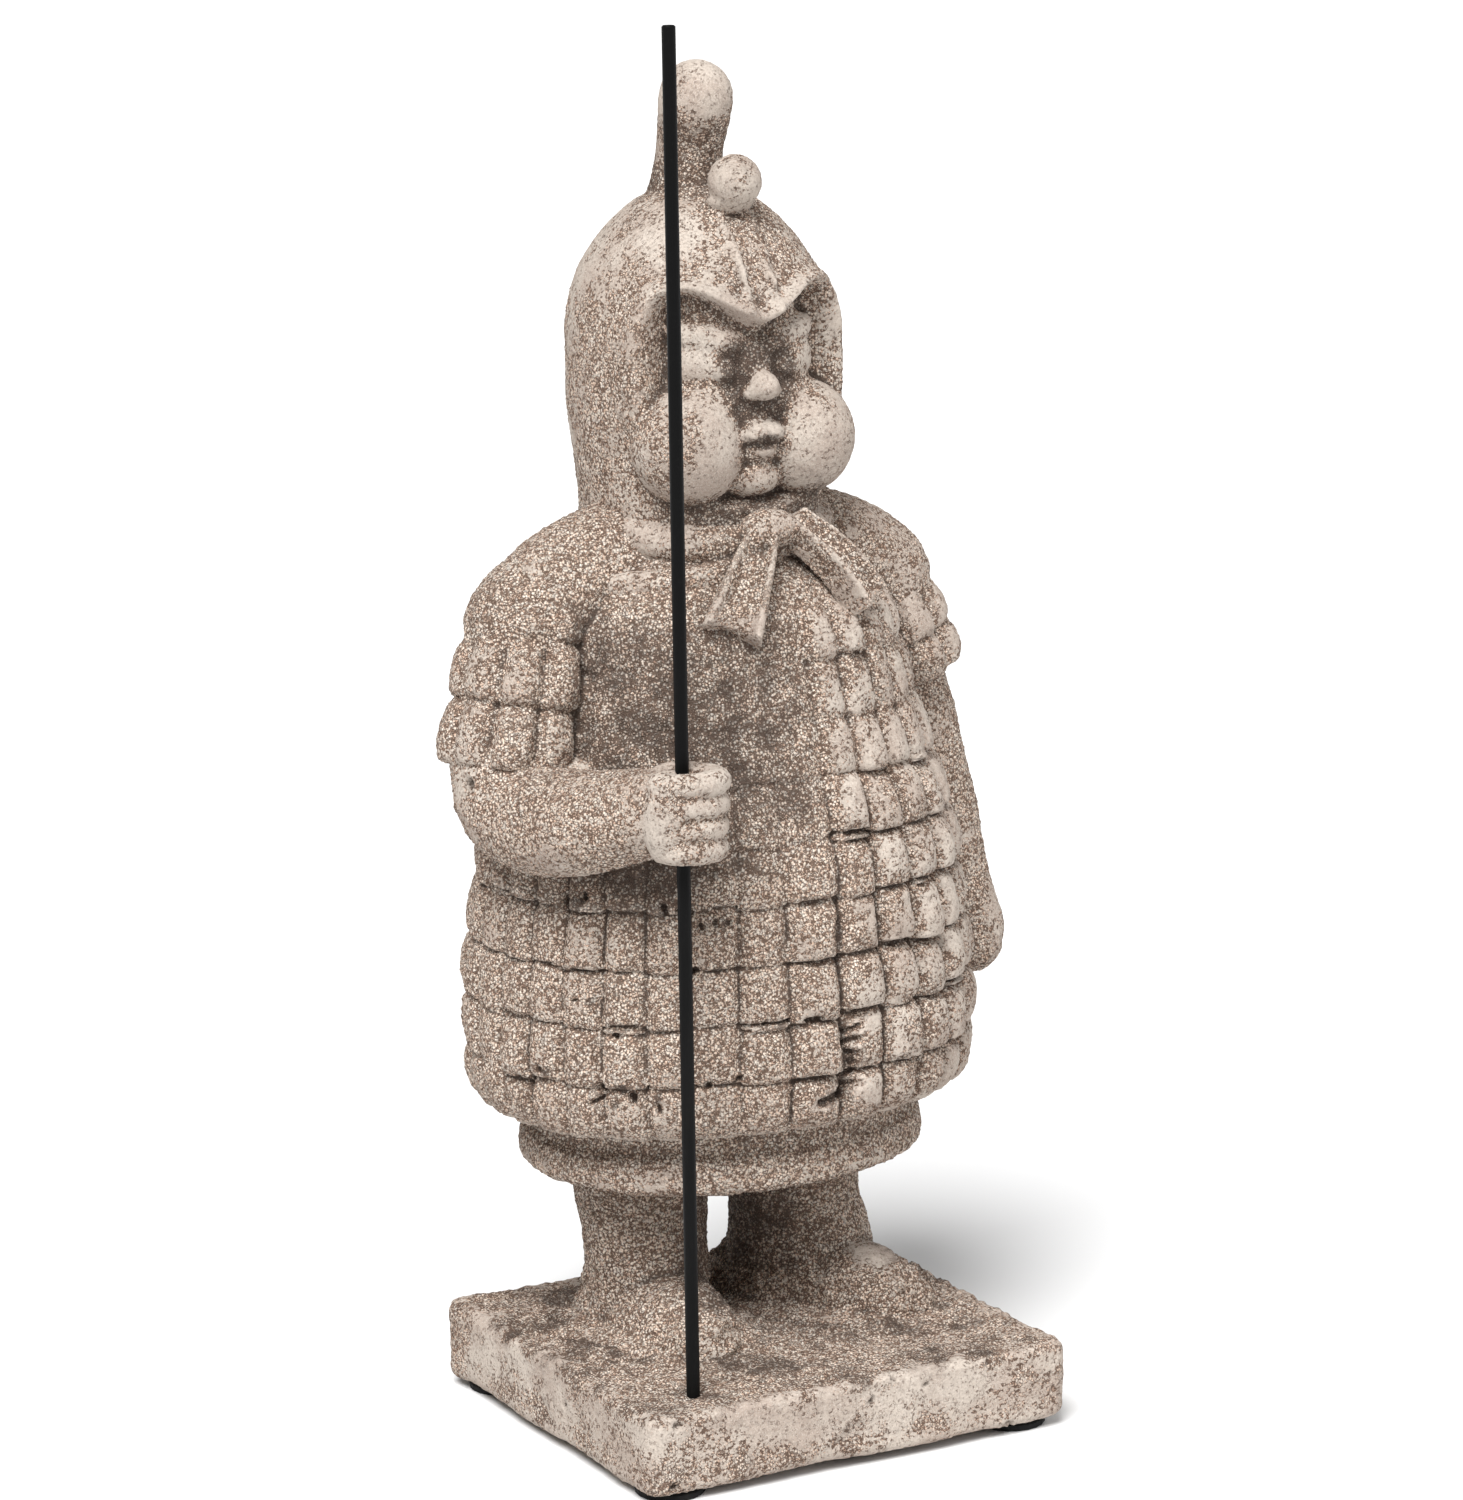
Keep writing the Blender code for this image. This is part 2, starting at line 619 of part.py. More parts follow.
clear_scene()
cast_figure()
rod()
foot_pads()
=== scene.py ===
# %% [markdown]
# # A weathered cement soldier
#
# The figurine in the photograph is cast in one with its slab, in a sandy cement that has stood out of
# doors. A plain black steel rod stands in its fist, and rubber feet are stuck under the slab. The packed
# CAD model is the frame: it fixes every size. This script dresses it. Each main form of the casting is
# modelled again with enough faces for worn plates, lips, fingers and grit, and all of them share one
# cement material.

# %% Load the frame
import itertools
import math
import random

import bmesh
import bpy
import numpy as np
from mathutils import Matrix, Vector, noise


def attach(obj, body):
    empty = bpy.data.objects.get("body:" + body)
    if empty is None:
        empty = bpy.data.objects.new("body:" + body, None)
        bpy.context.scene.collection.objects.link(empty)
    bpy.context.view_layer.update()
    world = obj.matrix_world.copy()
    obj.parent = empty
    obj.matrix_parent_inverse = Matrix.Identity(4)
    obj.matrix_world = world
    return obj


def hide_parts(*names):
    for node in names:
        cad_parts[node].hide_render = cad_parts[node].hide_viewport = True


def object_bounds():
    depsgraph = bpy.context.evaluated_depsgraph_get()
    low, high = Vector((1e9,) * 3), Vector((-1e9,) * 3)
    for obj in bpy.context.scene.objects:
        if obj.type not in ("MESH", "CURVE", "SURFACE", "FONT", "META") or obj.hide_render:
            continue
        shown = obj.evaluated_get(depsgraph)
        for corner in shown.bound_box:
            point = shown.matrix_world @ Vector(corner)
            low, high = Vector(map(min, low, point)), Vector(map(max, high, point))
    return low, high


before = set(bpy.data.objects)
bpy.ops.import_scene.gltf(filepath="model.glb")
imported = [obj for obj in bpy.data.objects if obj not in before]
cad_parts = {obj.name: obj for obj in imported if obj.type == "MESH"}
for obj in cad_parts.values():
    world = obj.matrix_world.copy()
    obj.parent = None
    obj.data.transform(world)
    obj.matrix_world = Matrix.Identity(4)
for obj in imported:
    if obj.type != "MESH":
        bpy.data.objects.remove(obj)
cad_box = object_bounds()
print("CAD box", [[round(v, 4) for v in corner] for corner in cad_box])

# %% [markdown]
# ## Places
#
# The casting's forms are given in millimetres from one point: the middle of the coat, on the slab's top.
# Working from such a point keeps the numbers readable, because they are then the figure's own heights
# and half widths. The figure faces -Y, and its right hand is on the -X side.

# %% Places and sizes that several pieces share
MM = 0.001
STAND = Vector((-2.5, 10.72, 30))
ROD_X, ROD_Y = -55, -79
FIST_HEIGHT = 196


def at(x, y, z):
    """A point of the casting in metres, in the frame."""
    return (Vector((x, y, z)) + STAND) * MM


def smoothstep(low, high, value):
    t = min(max((value - low) / (high - low), 0), 1)
    return t * t * (3 - 2 * t)


def steps(low, high, values):
    """The same smooth step for an array of values."""
    t = np.clip((values - low) / (high - low), 0, 1)
    return t * t * (3 - 2 * t)


def apart(places, x, y, z):
    """How far an array of places is from one point."""
    return np.linalg.norm(places - (x, y, z), axis=1)


def along_curve(stations, place):
    """The value at a place on a smooth curve through (place, value) stations."""
    place = min(max(place, stations[0][0]), stations[-1][0])
    i = next((k for k in range(len(stations) - 2) if place < stations[k + 1][0]), len(stations) - 2)

    def slope(k):
        low, high = stations[max(k - 1, 0)], stations[min(k + 1, len(stations) - 1)]
        return (high[1] - low[1]) / (high[0] - low[0])

    (start, first), (end, second) = stations[i], stations[i + 1]
    span = end - start
    t = (place - start) / span
    return (
        (2 * t**3 - 3 * t**2 + 1) * first + (t**3 - 2 * t**2 + t) * span * slope(i)
        + (3 * t**2 - 2 * t**3) * second + (t**3 - t**2) * span * slope(i + 1)
    )


print("the figure stands at", tuple(STAND), "mm, and its rod", (ROD_X, ROD_Y), "from there")

# %% [markdown]
# ## Forms that grow ring by ring
#
# A coat, an arm or a hood is a closed form whose cross-section changes along it. A modeller draws one
# ring and extrudes it again and again, moving and scaling each new ring. The helper below does that: the
# first ring is a capped circle, and every further ring is an extrusion of the last cap.

# %% Grow a form through rings
def grow(bm, rings):
    """Adds a closed form through rings of points in metres, all with the same count."""
    first = bmesh.ops.create_circle(bm, cap_ends=True, segments=len(rings[0]), radius=1)["verts"]
    cap = first[0].link_faces[0]
    for vert, place in zip(cap.verts, rings[0]):
        vert.co = place
    for ring in rings[1:]:
        extruded = bmesh.ops.extrude_face_region(bm, geom=[cap, *cap.edges, *cap.verts])["geom"]
        cap = next(part for part in extruded if isinstance(part, bmesh.types.BMFace))
        for vert, place in zip(cap.verts, ring):
            vert.co = place


def oval(angle, half_width, half_depth, power=2.0):
    """A point of a rounded oval. Angle 0 is the front, -Y, and a quarter turn is +X."""
    s, c = math.sin(angle), -math.cos(angle)
    return (
        half_width * math.copysign(abs(s) ** (2 / power), s),
        half_depth * math.copysign(abs(c) ** (2 / power), c),
    )


def limb(bm, stations, sides=24, end_steps=4):
    """Adds a round bar with round ends through stations of (x, y, z, radius)."""
    centres = [Vector(s[:3]) for s in stations]
    last = len(centres) - 1
    ways = [(centres[min(i + 1, last)] - centres[max(i - 1, 0)]).normalized() for i in range(last + 1)]
    slices = [(c, w, s[3]) for c, w, s in zip(centres, ways, stations)]
    start, finish = [], []
    for step in range(end_steps):
        lift = math.radians(90 * (step + 0.3) / end_steps)
        for ends, (centre, way, radius), side in ((start, slices[0], -1), (finish, slices[-1], 1)):
            ends.append((centre + way * side * radius * math.cos(lift), way, radius * math.sin(lift)))
    across = Vector((0, 0, 1)).cross(ways[0])
    if across.length < 0.2:
        across = Vector((1, 0, 0))
    rings = []
    for centre, way, radius in [*start, *slices, *reversed(finish)]:
        across = (across - way * across.dot(way)).normalized()
        other = way.cross(across)
        turns = (2 * math.pi * k / sides for k in range(sides))
        rings.append([at(*(centre + (across * math.cos(a) + other * math.sin(a)) * radius)) for a in turns])
    grow(bm, rings)


def egg(bm, centre, radii, turn=(0, 0, 0), fine=32):
    """Adds an egg-shaped lump: radii along X, Y and Z, turned by degrees about X, Y, then Z."""
    turned = Matrix.Identity(4)
    for degrees, axis in zip(turn, "XYZ"):
        turned = Matrix.Rotation(math.radians(degrees), 4, axis) @ turned
    size = Matrix.Diagonal((*(r * MM for r in radii), 1))
    placed = Matrix.Translation(at(*centre)) @ turned @ size
    bmesh.ops.create_uvsphere(bm, u_segments=fine, v_segments=fine // 2, radius=1, matrix=placed)


def through(stations, count):
    """More stations of (x, y, z, radius) on a smooth curve through a few."""
    known = [[(k, station[i]) for k, station in enumerate(stations)] for i in range(4)]
    places = [k * (len(stations) - 1) / (count - 1) for k in range(count)]
    return [tuple(along_curve(line, place) for line in known) for place in places]


print("forms can now be grown ring by ring, as a limb or as an egg")

# %% [markdown]
# ## Melting forms together
#
# Cement that is cast in one has no seams where an arm meets a sleeve. Boolean unions would leave sharp
# joints, so overlapping forms are melted instead: a voxel remesh wraps them in one even skin, and a short
# smoothing rounds the joints, as a trowel and the weather do.

# %% Melt overlapping forms into one skin
pieces = {}


def melt(name, bm, voxel, smooth=0):
    """One closed mesh round all that a bmesh holds, with faces about one voxel across, in millimetres."""
    bmesh.ops.recalc_face_normals(bm, faces=bm.faces[:])
    rough = bpy.data.meshes.new(name + "_rough")
    bm.to_mesh(rough)
    bm.free()
    draft = bpy.data.objects.new(name + "_draft", rough)
    bpy.context.scene.collection.objects.link(draft)
    if voxel:
        wrap = draft.modifiers.new("wrap", "REMESH")
        wrap.mode = "VOXEL"
        wrap.voxel_size = voxel * MM
    if smooth:
        soften = draft.modifiers.new("soften", "SMOOTH")
        soften.factor = 0.5
        soften.iterations = smooth
    graph = bpy.context.evaluated_depsgraph_get()
    mesh = bpy.data.meshes.new_from_object(draft.evaluated_get(graph))
    bpy.data.objects.remove(draft)
    mesh.name = name
    made = bpy.data.objects.new(name, mesh)
    bpy.context.scene.collection.objects.link(made)
    pieces[name] = made
    return made


print("voxel sizes from here on are in millimetres")

# %% [markdown]
# ## Weathering
#
# Rain has washed the fine cement off the raised parts unevenly, and sand grains stand out everywhere. Every
# recess is darkened with painted shade, and dirt lies in patches. Two things carry that: the mesh itself is
# roughened along its normals, so that the outline is gritty too, and the height of each point above its
# smoothed surroundings is stored on the mesh. The material reads that height to paint shade into the
# recesses and to bleach the edges.

# %% Roughen a piece and store its relief
def neighbours_mean(mesh, values, rounds):
    """The values averaged over the mesh's edges, so many times over."""
    edges = np.empty(len(mesh.edges) * 2, dtype=np.int32)
    mesh.edges.foreach_get("vertices", edges)
    a, b = edges[0::2], edges[1::2]
    share = np.bincount(a, minlength=len(values)) + np.bincount(b, minlength=len(values))
    share = np.maximum(share, 1)[:, None]
    for _ in range(rounds):
        total = np.zeros_like(values)
        for axis in range(values.shape[1]):
            total[:, axis] = np.bincount(a, values[b, axis], len(values))
            total[:, axis] += np.bincount(b, values[a, axis], len(values))
        values = 0.4 * values + 0.6 * total / share
    return values


def mesh_arrays(mesh):
    """Places and normals of all points, in millimetres."""
    places = np.empty(len(mesh.vertices) * 3, dtype=np.float32)
    normals = np.empty_like(places)
    mesh.vertices.foreach_get("co", places)
    mesh.vertices.foreach_get("normal", normals)
    return places.reshape(-1, 3).astype(float) / MM, normals.reshape(-1, 3).astype(float)


def chance_at(cells, seed):
    """A chance value from 0 to 1 for each cell of a 3-D lattice."""
    mixed = (cells * (374761393, 668265263, 974634777)).sum(axis=1) + seed * 144269504
    mixed = (mixed ^ (mixed >> 13)) * 1274126177 & 0x7FFFFFFF
    return ((mixed ^ (mixed >> 16)) & 0xFFFFF) / 0xFFFFF


ASKEW = np.array(Matrix.Rotation(0.9, 3, (0.36, 0.48, 0.80)))


def humps(places, size, seed=0):
    """Soft noise from -1 to 1 at an array of places, with humps of a size in millimetres.

    Its lattice is turned askew, so that no rows of it show on level or upright faces.
    """
    lattice = places @ ASKEW / size
    cells = np.floor(lattice).astype(np.int64)
    t = lattice - cells
    t = t * t * (3 - 2 * t)
    total = np.zeros(len(places))
    for corner in itertools.product((0, 1), repeat=3):
        weight = np.prod(np.where(corner, t, 1 - t), axis=1)
        total += weight * chance_at(cells + np.array(corner), seed)
    return 2 * total - 1


def sand_grains(places, size, seed=0):
    """Distance to the nearest of many scattered grains, in shares of their size."""
    lattice = places @ ASKEW / size
    cells = np.floor(lattice).astype(np.int64)
    nearest = np.full(len(places), 9.0)
    for corner in itertools.product((-1, 0, 1), repeat=3):
        cell = cells + np.array(corner)
        spot = cell + np.stack([chance_at(cell, seed + axis) for axis in (11, 23, 37)], axis=1)
        nearest = np.minimum(nearest, ((lattice - spot) ** 2).sum(axis=1))
    return np.sqrt(nearest)


NEAR_REACH, FAR_REACH = 3.0, 7.0
GRAIN_SIZE = 1.6


def store(mesh, name, values):
    """Keeps one number for each point of a mesh, for the material to read."""
    layer = mesh.attributes.new(name, "FLOAT", "POINT")
    layer.data.foreach_set("value", np.asarray(values, dtype=np.float32))


def weather(
    made, coarse=0.45, fine=0.90, waves=0.5, skin_bias=-0.35, skinned=None, stained_and_shaded=None, holes=0, crumbs=None
):
    """Roughens a piece along its normals and stores three maps for the cement material.

    relief is the height over the surroundings in millimetres, skin is how much smooth cement is left on the
    sand, and the third map is how dark a place is: painted shade in recesses, air holes and under overhanging
    parts, with real dirt. Skinned, and the function that adds to the third map, take an array of places in
    the casting and add to the last two. Holes is a number of small air holes, scattered by chance, and
    crumbs gives the height of crumbs of mortar at an array of places.
    """
    mesh = made.data
    places, normals = mesh_arrays(mesh)
    spots = places - STAND
    spacing = np.sqrt(sum(p.area for p in mesh.polygons) / len(mesh.polygons)) / MM
    near = neighbours_mean(mesh, places, int(max(6, (NEAR_REACH / spacing) ** 2)))
    far = neighbours_mean(mesh, near, int((FAR_REACH / spacing) ** 2))
    relief = ((places - near) * normals).sum(axis=1)
    form = ((places - far) * normals).sum(axis=1)
    patchy = 0.7 * humps(places, 12, 1) + 0.5 * humps(places, 5, 2) + 0.3 * humps(places, 2.2, 3)
    # Painted shade in the recesses, where the form lies below its surroundings, plus random patches of dirt.
    stain = 0.85 * steps(-0.3, -2.6, form) + 0.25 * steps(0.1, 0.8, humps(places, 16, 7))
    stain = (stain + (stained_and_shaded(spots) if stained_and_shaded else 0)) * (1 + 0.5 * humps(places, 8, 4))
    level = skin_bias + 0.34 * np.clip(form, -3, 1.1) + 0.55 * patchy - 0.75 * stain
    level += skinned(spots) if skinned else 0
    skin = steps(-0.35, 0.85, level)
    rough = coarse * (0.7 * humps(places, 7, 5) + 0.6 * humps(places, 3, 6))
    rough += fine * (0.55 - sand_grains(places, GRAIN_SIZE))
    rough = rough * (1 - 0.65 * skin) + waves * humps(places, 24, 9)
    if crumbs:
        rough += crumbs(spots) * np.maximum(humps(places, 4, 41) + 0.5 * humps(places, 2.2, 42), -0.1)
    luck = np.random.default_rng(5)
    for middle in places[luck.integers(len(places), size=holes)]:
        size = luck.uniform(1.0, 2.3)
        away = np.linalg.norm(places - middle, axis=1) + 0.5 * humps(places, 1.5, 12)
        rough -= 1.3 * size * steps(size, 0.4 * size, away)
        rough += 0.35 * np.exp(-(((away - 1.35 * size) / 0.5) ** 2))
        # The inside of each air hole gets painted shade in the darkness map.
        stain = np.maximum(stain, 1.2 * steps(size, 0.5 * size, away))
    moved = np.clip(places + normals * rough[:, None], *(np.array(cad_box) / MM + [[0.05], [-0.05]]))
    mesh.vertices.foreach_set("co", (moved * MM).astype(np.float32).ravel())
    store(mesh, "relief", relief)
    store(mesh, "skin", skin)
    store(mesh, "stain", np.clip(stain, 0, 1))
    mesh.polygons.foreach_set("use_smooth", [True] * len(mesh.polygons))
    mesh.update()
    count = sum(len(p.vertices) - 2 for p in mesh.polygons)
    print(
        f"{made.name}: {count} triangles, faces {spacing:.2f} mm, "
        f"form {form.min():.1f} to {form.max():.1f} mm, skin on {100 * skin.mean():.0f} %"
    )


print("each point of a weathered piece knows its relief, its skin and its stain")

# %% [markdown]
# ## The coat of plates
#
# Nine rows of small square plates hang over one another, each row's lower edge standing over the row
# below. One could model a single plate and repeat it 288 times, but the plates of a worn casting have
# melted into one skin. So the coat is one grown form with a ring about every millimetre, and the plates
# are relief on it: a lip along each row's lower edge, a groove beside each plate, and a soft pillow
# between. Every plate also stands a little in or out of line by chance, and the middle of the chest is
# worn almost plain.

# %% The coat's sizes
COAT_HEM = 80
COAT_ROWS = 9
COAT_ROW_HEIGHT = 19.4
COAT_COLUMNS = 32
COAT_COLUMN_SHIFT = 0.42
COAT_COLUMN_WIDTH = 15.8
# Millimetres of the coat's round in one degree.
COAT_ARC = 1.505
DIVE = 5.0
COAT_DEPTH_SHARE = 0.82
COAT_LIP = 2.4
GROOVE_DEPTH = 2.7
COAT_PROFILE = [
    (80, 82.5), (86, 85.5), (97, 87.5), (114, 88), (133, 86.5), (150, 84.5), (165, 82), (179, 79),
    (200, 73), (221, 67), (236, 63.5), (249, 59.5), (258, 53), (265, 44), (271, 34),
]
PLATE_CHANCE = random.Random(7)


def plate_chance(inwards, outwards, tilt_up):
    """By chance, how far a plate is set out, and its tilts across and up, in millimetres."""
    return (
        PLATE_CHANCE.uniform(-inwards, outwards), PLATE_CHANCE.uniform(-0.5, 0.5),
        PLATE_CHANCE.uniform(-tilt_up, tilt_up),
    )


plate_set = {
    (row, column): plate_chance(0.55, 0.45, 0.5)
    for row in range(-1, COAT_ROWS + 1) for column in range(COAT_COLUMNS)
}
print(len(plate_set), "plates have their own chance tilt")


# %% The relief of the plates
def plate_wear(angle, z):
    """How much of the plates' relief is left, from 0 to 1. Most of the right chest is worn plain."""
    turn = math.degrees(angle)
    turn = turn - 360 if turn > 180 else turn
    plain = smoothstep(-78, -55, turn) * smoothstep(9, 3, turn) * smoothstep(150, 170, z)
    faint = smoothstep(-140, -100, turn) * smoothstep(4, -12, turn) * smoothstep(172, 150, z)
    flat = 0.30 * smoothstep(192, 212, z)
    patch = 0.5 + 0.8 * noise.noise(Vector((angle * 4, z / 22, 3.7)))
    worn = (1 - 0.70 * plain) * (1 - flat) * (1 - 0.42 * faint * min(max(1.75 - patch, 0), 1))
    return worn * (0.78 + 0.40 * patch)


def front_lap(angle, z):
    """The coat's left front lies over its right front, so it stands proud on the chest."""
    turn = math.degrees(angle)
    side = smoothstep(6.2, 8.0, turn) * smoothstep(75, 40, turn)
    return 1.8 * side * smoothstep(150, 158, z) * smoothstep(262, 240, z)


def plate_relief(across, up, row_height, column_width, chance, lip_height):
    """Relief of one plate in millimetres. Across and up run from 0 to 1 over the plate."""
    set_out, tilt_across, tilt_up = chance
    side = min(across, 1 - across) * column_width
    groove = -GROOVE_DEPTH * math.exp(-((side / 1.9) ** 2))
    lip = 0.72 * lip_height * (1 + 0.8 * tilt_across) * (1 - up) * smoothstep(-0.10, 0.05, up)
    under = -1.6 * math.exp(-(((1 - up) * row_height / 2.3) ** 2))
    pillow = 2.7 * (1 - abs(2 * across - 1) ** 2.3) * (1 - abs(2 * up - 1) ** 2.5) - 1.3
    return groove + lip + under + pillow + set_out + tilt_across * (across - 0.5) + tilt_up * (up - 0.5)


PIECES_MEET_AT_ROW = 6
# Each pit's degrees from the front, height, radius and depth. The first nine make one L-shaped break.
PITS = [
    (7.2, 113, 2.3, 3.0), (7.0, 109, 2.6, 3.6), (7.4, 105, 2.4, 3.8), (7.6, 101.5, 2.5, 3.8),
    (7.8, 97.5, 2.6, 4.2), (7.0, 94, 2.7, 4.2), (5.0, 91.5, 2.7, 4.2), (2.8, 90.3, 2.5, 3.8),
    (0.8, 90, 2.1, 3.0), (-24.5, 100.5, 1.5, 2.2), (-18.0, 101.5, 1.5, 2.2), (-43, 96, 2.2, 3.0),
    (-51, 99, 2.3, 3.2), (-52.5, 94.5, 2.1, 3.0), (-69, 103, 2.2, 3.2), (-36.5, 92, 1.8, 2.4),
    (19.5, 100, 1.8, 2.2), (-47, 117, 1.8, 2.0), (-28, 138, 2.1, 2.6), (-12, 119, 1.7, 2.0),
    (-58, 128, 1.8, 2.2), (-26, 153, 2.0, 2.6), (-22.5, 153.6, 1.7, 2.4), (-19.5, 153.4, 1.4, 2.0),
    (-62, 160, 2.5, 3.0), (-56, 162, 2.1, 2.8), (-35, 159, 2.2, 2.8), (-31, 158.4, 1.6, 2.4),
]


def pitted(angle, z):
    """Depth of the air holes and broken places that a mould leaves, at an angle and a height."""
    turn = math.degrees(angle)
    turn = turn - 360 if turn > 180 else turn
    depth = 0
    for pit_turn, pit_z, pit_size, pit_depth in PITS:
        if abs(z - pit_z) < 3 * pit_size and abs(turn - pit_turn) < 6:
            lean = math.sin(pit_turn * 7.7)
            aside = (turn - pit_turn + 0.7) * COAT_ARC
            higher = z - pit_z + 0.5 * lean * aside
            away = math.hypot(aside * (0.85 + 0.3 * lean), higher * (1.15 - 0.35 * lean))
            ragged = away + 0.6 * noise.noise(Vector((turn / 1.5, z / 1.9, pit_size)))
            depth = max(depth, pit_depth * smoothstep(pit_size, 0.45 * pit_size, ragged))
    return depth


def plate_at(angle, z):
    """Which plate covers a place: its row, its column, and the shares up and across it."""
    lift = (z - COAT_HEM) / COAT_ROW_HEIGHT
    wobble = 0.035 * noise.noise(Vector((angle * 5, z / 30, 8.1)))
    turn = (angle / (2 * math.pi) * COAT_COLUMNS - COAT_COLUMN_SHIFT + wobble * 2) % COAT_COLUMNS
    plate = Vector((int(turn) * 3.37 + 0.5, int(max(lift, 0)) * 1.73 + 0.5, 0.5))
    return lift + wobble + 0.13 * noise.noise(plate), turn


def coat_out(angle, z, kept=0):
    """How far the coat's surface stands out of its plain profile.

    Kept is -1 for the lower piece of the coat, which dives under the upper piece above the row where they
    meet, and 1 for the upper piece, which dives under the lower one below it.
    """
    lift, turn = plate_at(angle, z)
    row = int(min(max(math.floor(lift), 0), COAT_ROWS))
    up = min(max(lift - row, 0), 1)
    chance = plate_set[(row, int(turn) % COAT_COLUMNS)]
    relief = plate_relief(turn % 1, up, COAT_ROW_HEIGHT, COAT_COLUMN_WIDTH, chance, COAT_LIP)
    top = COAT_HEM + COAT_ROWS * COAT_ROW_HEIGHT
    out = relief * plate_wear(angle, z) * smoothstep(top + 1, top - 6, z) + front_lap(angle, z)
    out -= pitted(angle, z)
    past = kept * (PIECES_MEET_AT_ROW - lift)
    return out - (DIVE * smoothstep(0.0, 0.16, past) if kept else 0)


def coat_ring(z, points, shrink=0.0, kept=0):
    radius = along_curve(COAT_PROFILE, z)
    ring = []
    for k in range(points):
        angle = 2 * math.pi * k / points
        out = coat_out(angle, z, kept) - shrink
        ring.append(at(*oval(angle, radius + out, radius * COAT_DEPTH_SHARE + out, 2.15), z))
    return ring


# %% The lower coat, from its hem to the elbow
LOWER_TOP = 206
LOWER_RINGS = 128
LOWER_POINTS = 560
bm = bmesh.new()
rings = [coat_ring(COAT_HEM + 0.2, LOWER_POINTS, 12), coat_ring(COAT_HEM + 0.1, LOWER_POINTS, 2.5)]
rings += [
    coat_ring(z, LOWER_POINTS, kept=-1)
    for z in np.linspace(COAT_HEM + 0.8, LOWER_TOP, LOWER_RINGS).tolist()
]
grow(bm, rings)
lower_coat = melt("coat_of_plates", bm, 0)


def coat_stain_and_shade(places):
    """Rain has left the middle and right of the coat darker than its left. Painted shade darkens the right
    chest under the scarf, round the collar, under the forearm, beside the right sleeve and under the elbow, a
    broad painted shadow lies on the right of the chest, and the pits are filled with painted shade.
    """
    x, y, z = places.T
    turn = np.degrees(np.arctan2(x, -y))
    right = steps(9, -4, turn) * steps(-100, -70, turn)
    chest = steps(160, 200, z) * steps(-62, -40, turn) * steps(262, 240, z)
    # The terms from here on are painted shade: under the forearm, on the chest, in the pits, round the
    # collar, beside the sleeve and under the elbow.
    armpit = steps(36, 12, apart(places, -58, -52, 176))
    shadow = steps(40, 14, apart(places * (1, 0.5, 0.7), -22, -24, 153))
    broken = np.zeros(len(places))
    for pit_turn, pit_z, pit_size, pit_depth in PITS:
        away = np.hypot((turn - pit_turn + 0.7) * COAT_ARC, z - pit_z) + 0.6 * humps(places, 1.8, 14)
        broken = np.maximum(broken, pit_depth / 3.2 * steps(1.15 * pit_size, 0.6 * pit_size, away))
    collar = steps(46, 30, np.hypot(x, y + 6)) * steps(245, 262, z)
    sleeve_edge = steps(20, 6, apart(places * (1, 0.6, 0.35), -55, -18, 77)) * steps(-12, -20, y)
    elbow = steps(9, 2, np.abs(z - 172)) * steps(-100, -80, turn) * steps(0, -15, turn)
    stain = right * (0.06 + 0.36 * chest) + 0.6 * armpit + 0.5 * collar + 0.6 * sleeve_edge + 0.4 * elbow
    return np.maximum(stain + 0.35 * shadow, 1.3 * broken)


def coat_skin(places):
    """The plates on the coat's left have kept more of their smooth skin."""
    x, y, z = places.T
    turn = np.degrees(np.arctan2(x, -y))
    return 0.46 * steps(2, 20, turn) * (1 - 0.35 * steps(195, 225, z)) + 0.10 * humps(places, 30, 15)


weather(lower_coat, coarse=0.60, skin_bias=-0.30, skinned=coat_skin, stained_and_shaded=coat_stain_and_shade)

# %% [markdown]
# ## Shoulders and sleeves
#
# The upper coat narrows into round shoulders, and a short sleeve of three rows of plates flares over each
# upper arm. The sleeves are grown along a slanting line in the same way as the coat is grown upwards, and
# then coat, shoulders, nape and sleeves are melted together.

# %% A sleeve of three rows of plates
SLEEVE_COLUMNS = 9
SLEEVE_PLATE = (20, 15)
RIGHT_SLEEVE = {
    "top": (-68, -1, 250), "hem": (-79.5, -6, 200), "radius": (20, 23.4), "rows": (-0.10, 0.14, 0.57, 1.0),
}
LEFT_SLEEVE = {
    "top": (60, 1, 250), "hem": (72, 2, 215), "radius": (17.5, 22.6), "rows": (-0.22, 0.06, 0.58, 1.0),
}
SLEEVE_LIP = 2.6


def sleeve(bm, top, hem, radius, rows, points=168, slices=26):
    start, line = Vector(top), Vector(hem) - Vector(top)
    way = line.normalized()
    across = Vector((0, 1, 0)).cross(way).normalized()
    other = way.cross(across)
    chance = {
        (row, column): plate_chance(0.4, 0.5, 0.4) for row in range(4) for column in range(SLEEVE_COLUMNS)
    }

    def ring(share, size, row=None, down=0.5):
        places = []
        for k in range(points):
            angle = 2 * math.pi * k / points
            turn = angle / (2 * math.pi) * SLEEVE_COLUMNS
            out = 0
            if row is not None:
                plate = chance[(row, int(turn) % SLEEVE_COLUMNS)]
                out = 0.92 * plate_relief(turn % 1, 1 - down, *SLEEVE_PLATE, plate, SLEEVE_LIP)
            side = across * math.cos(angle) + other * math.sin(angle)
            places.append(at(*(start + line * share + side * (size + out))))
        return places

    cap_top = rows[0] - 0.24
    rings = [ring(cap_top, radius[0] * 0.35), ring(cap_top + 0.08, radius[0] * 0.70)]
    for row, (low, high) in enumerate(zip(rows, rows[1:])):
        for step in range(slices):
            down = step / (slices - 1)
            share = low + (high - low) * down
            size = radius[0] + (radius[1] - radius[0]) * smoothstep(-0.2, 0.8, share)
            if row == 0:
                size *= 0.94 + 0.06 * down
            rings.append(ring(share, size, row, down))
    rings.append(ring(rows[-1] + 0.01, radius[1] - 3))
    grow(bm, rings)


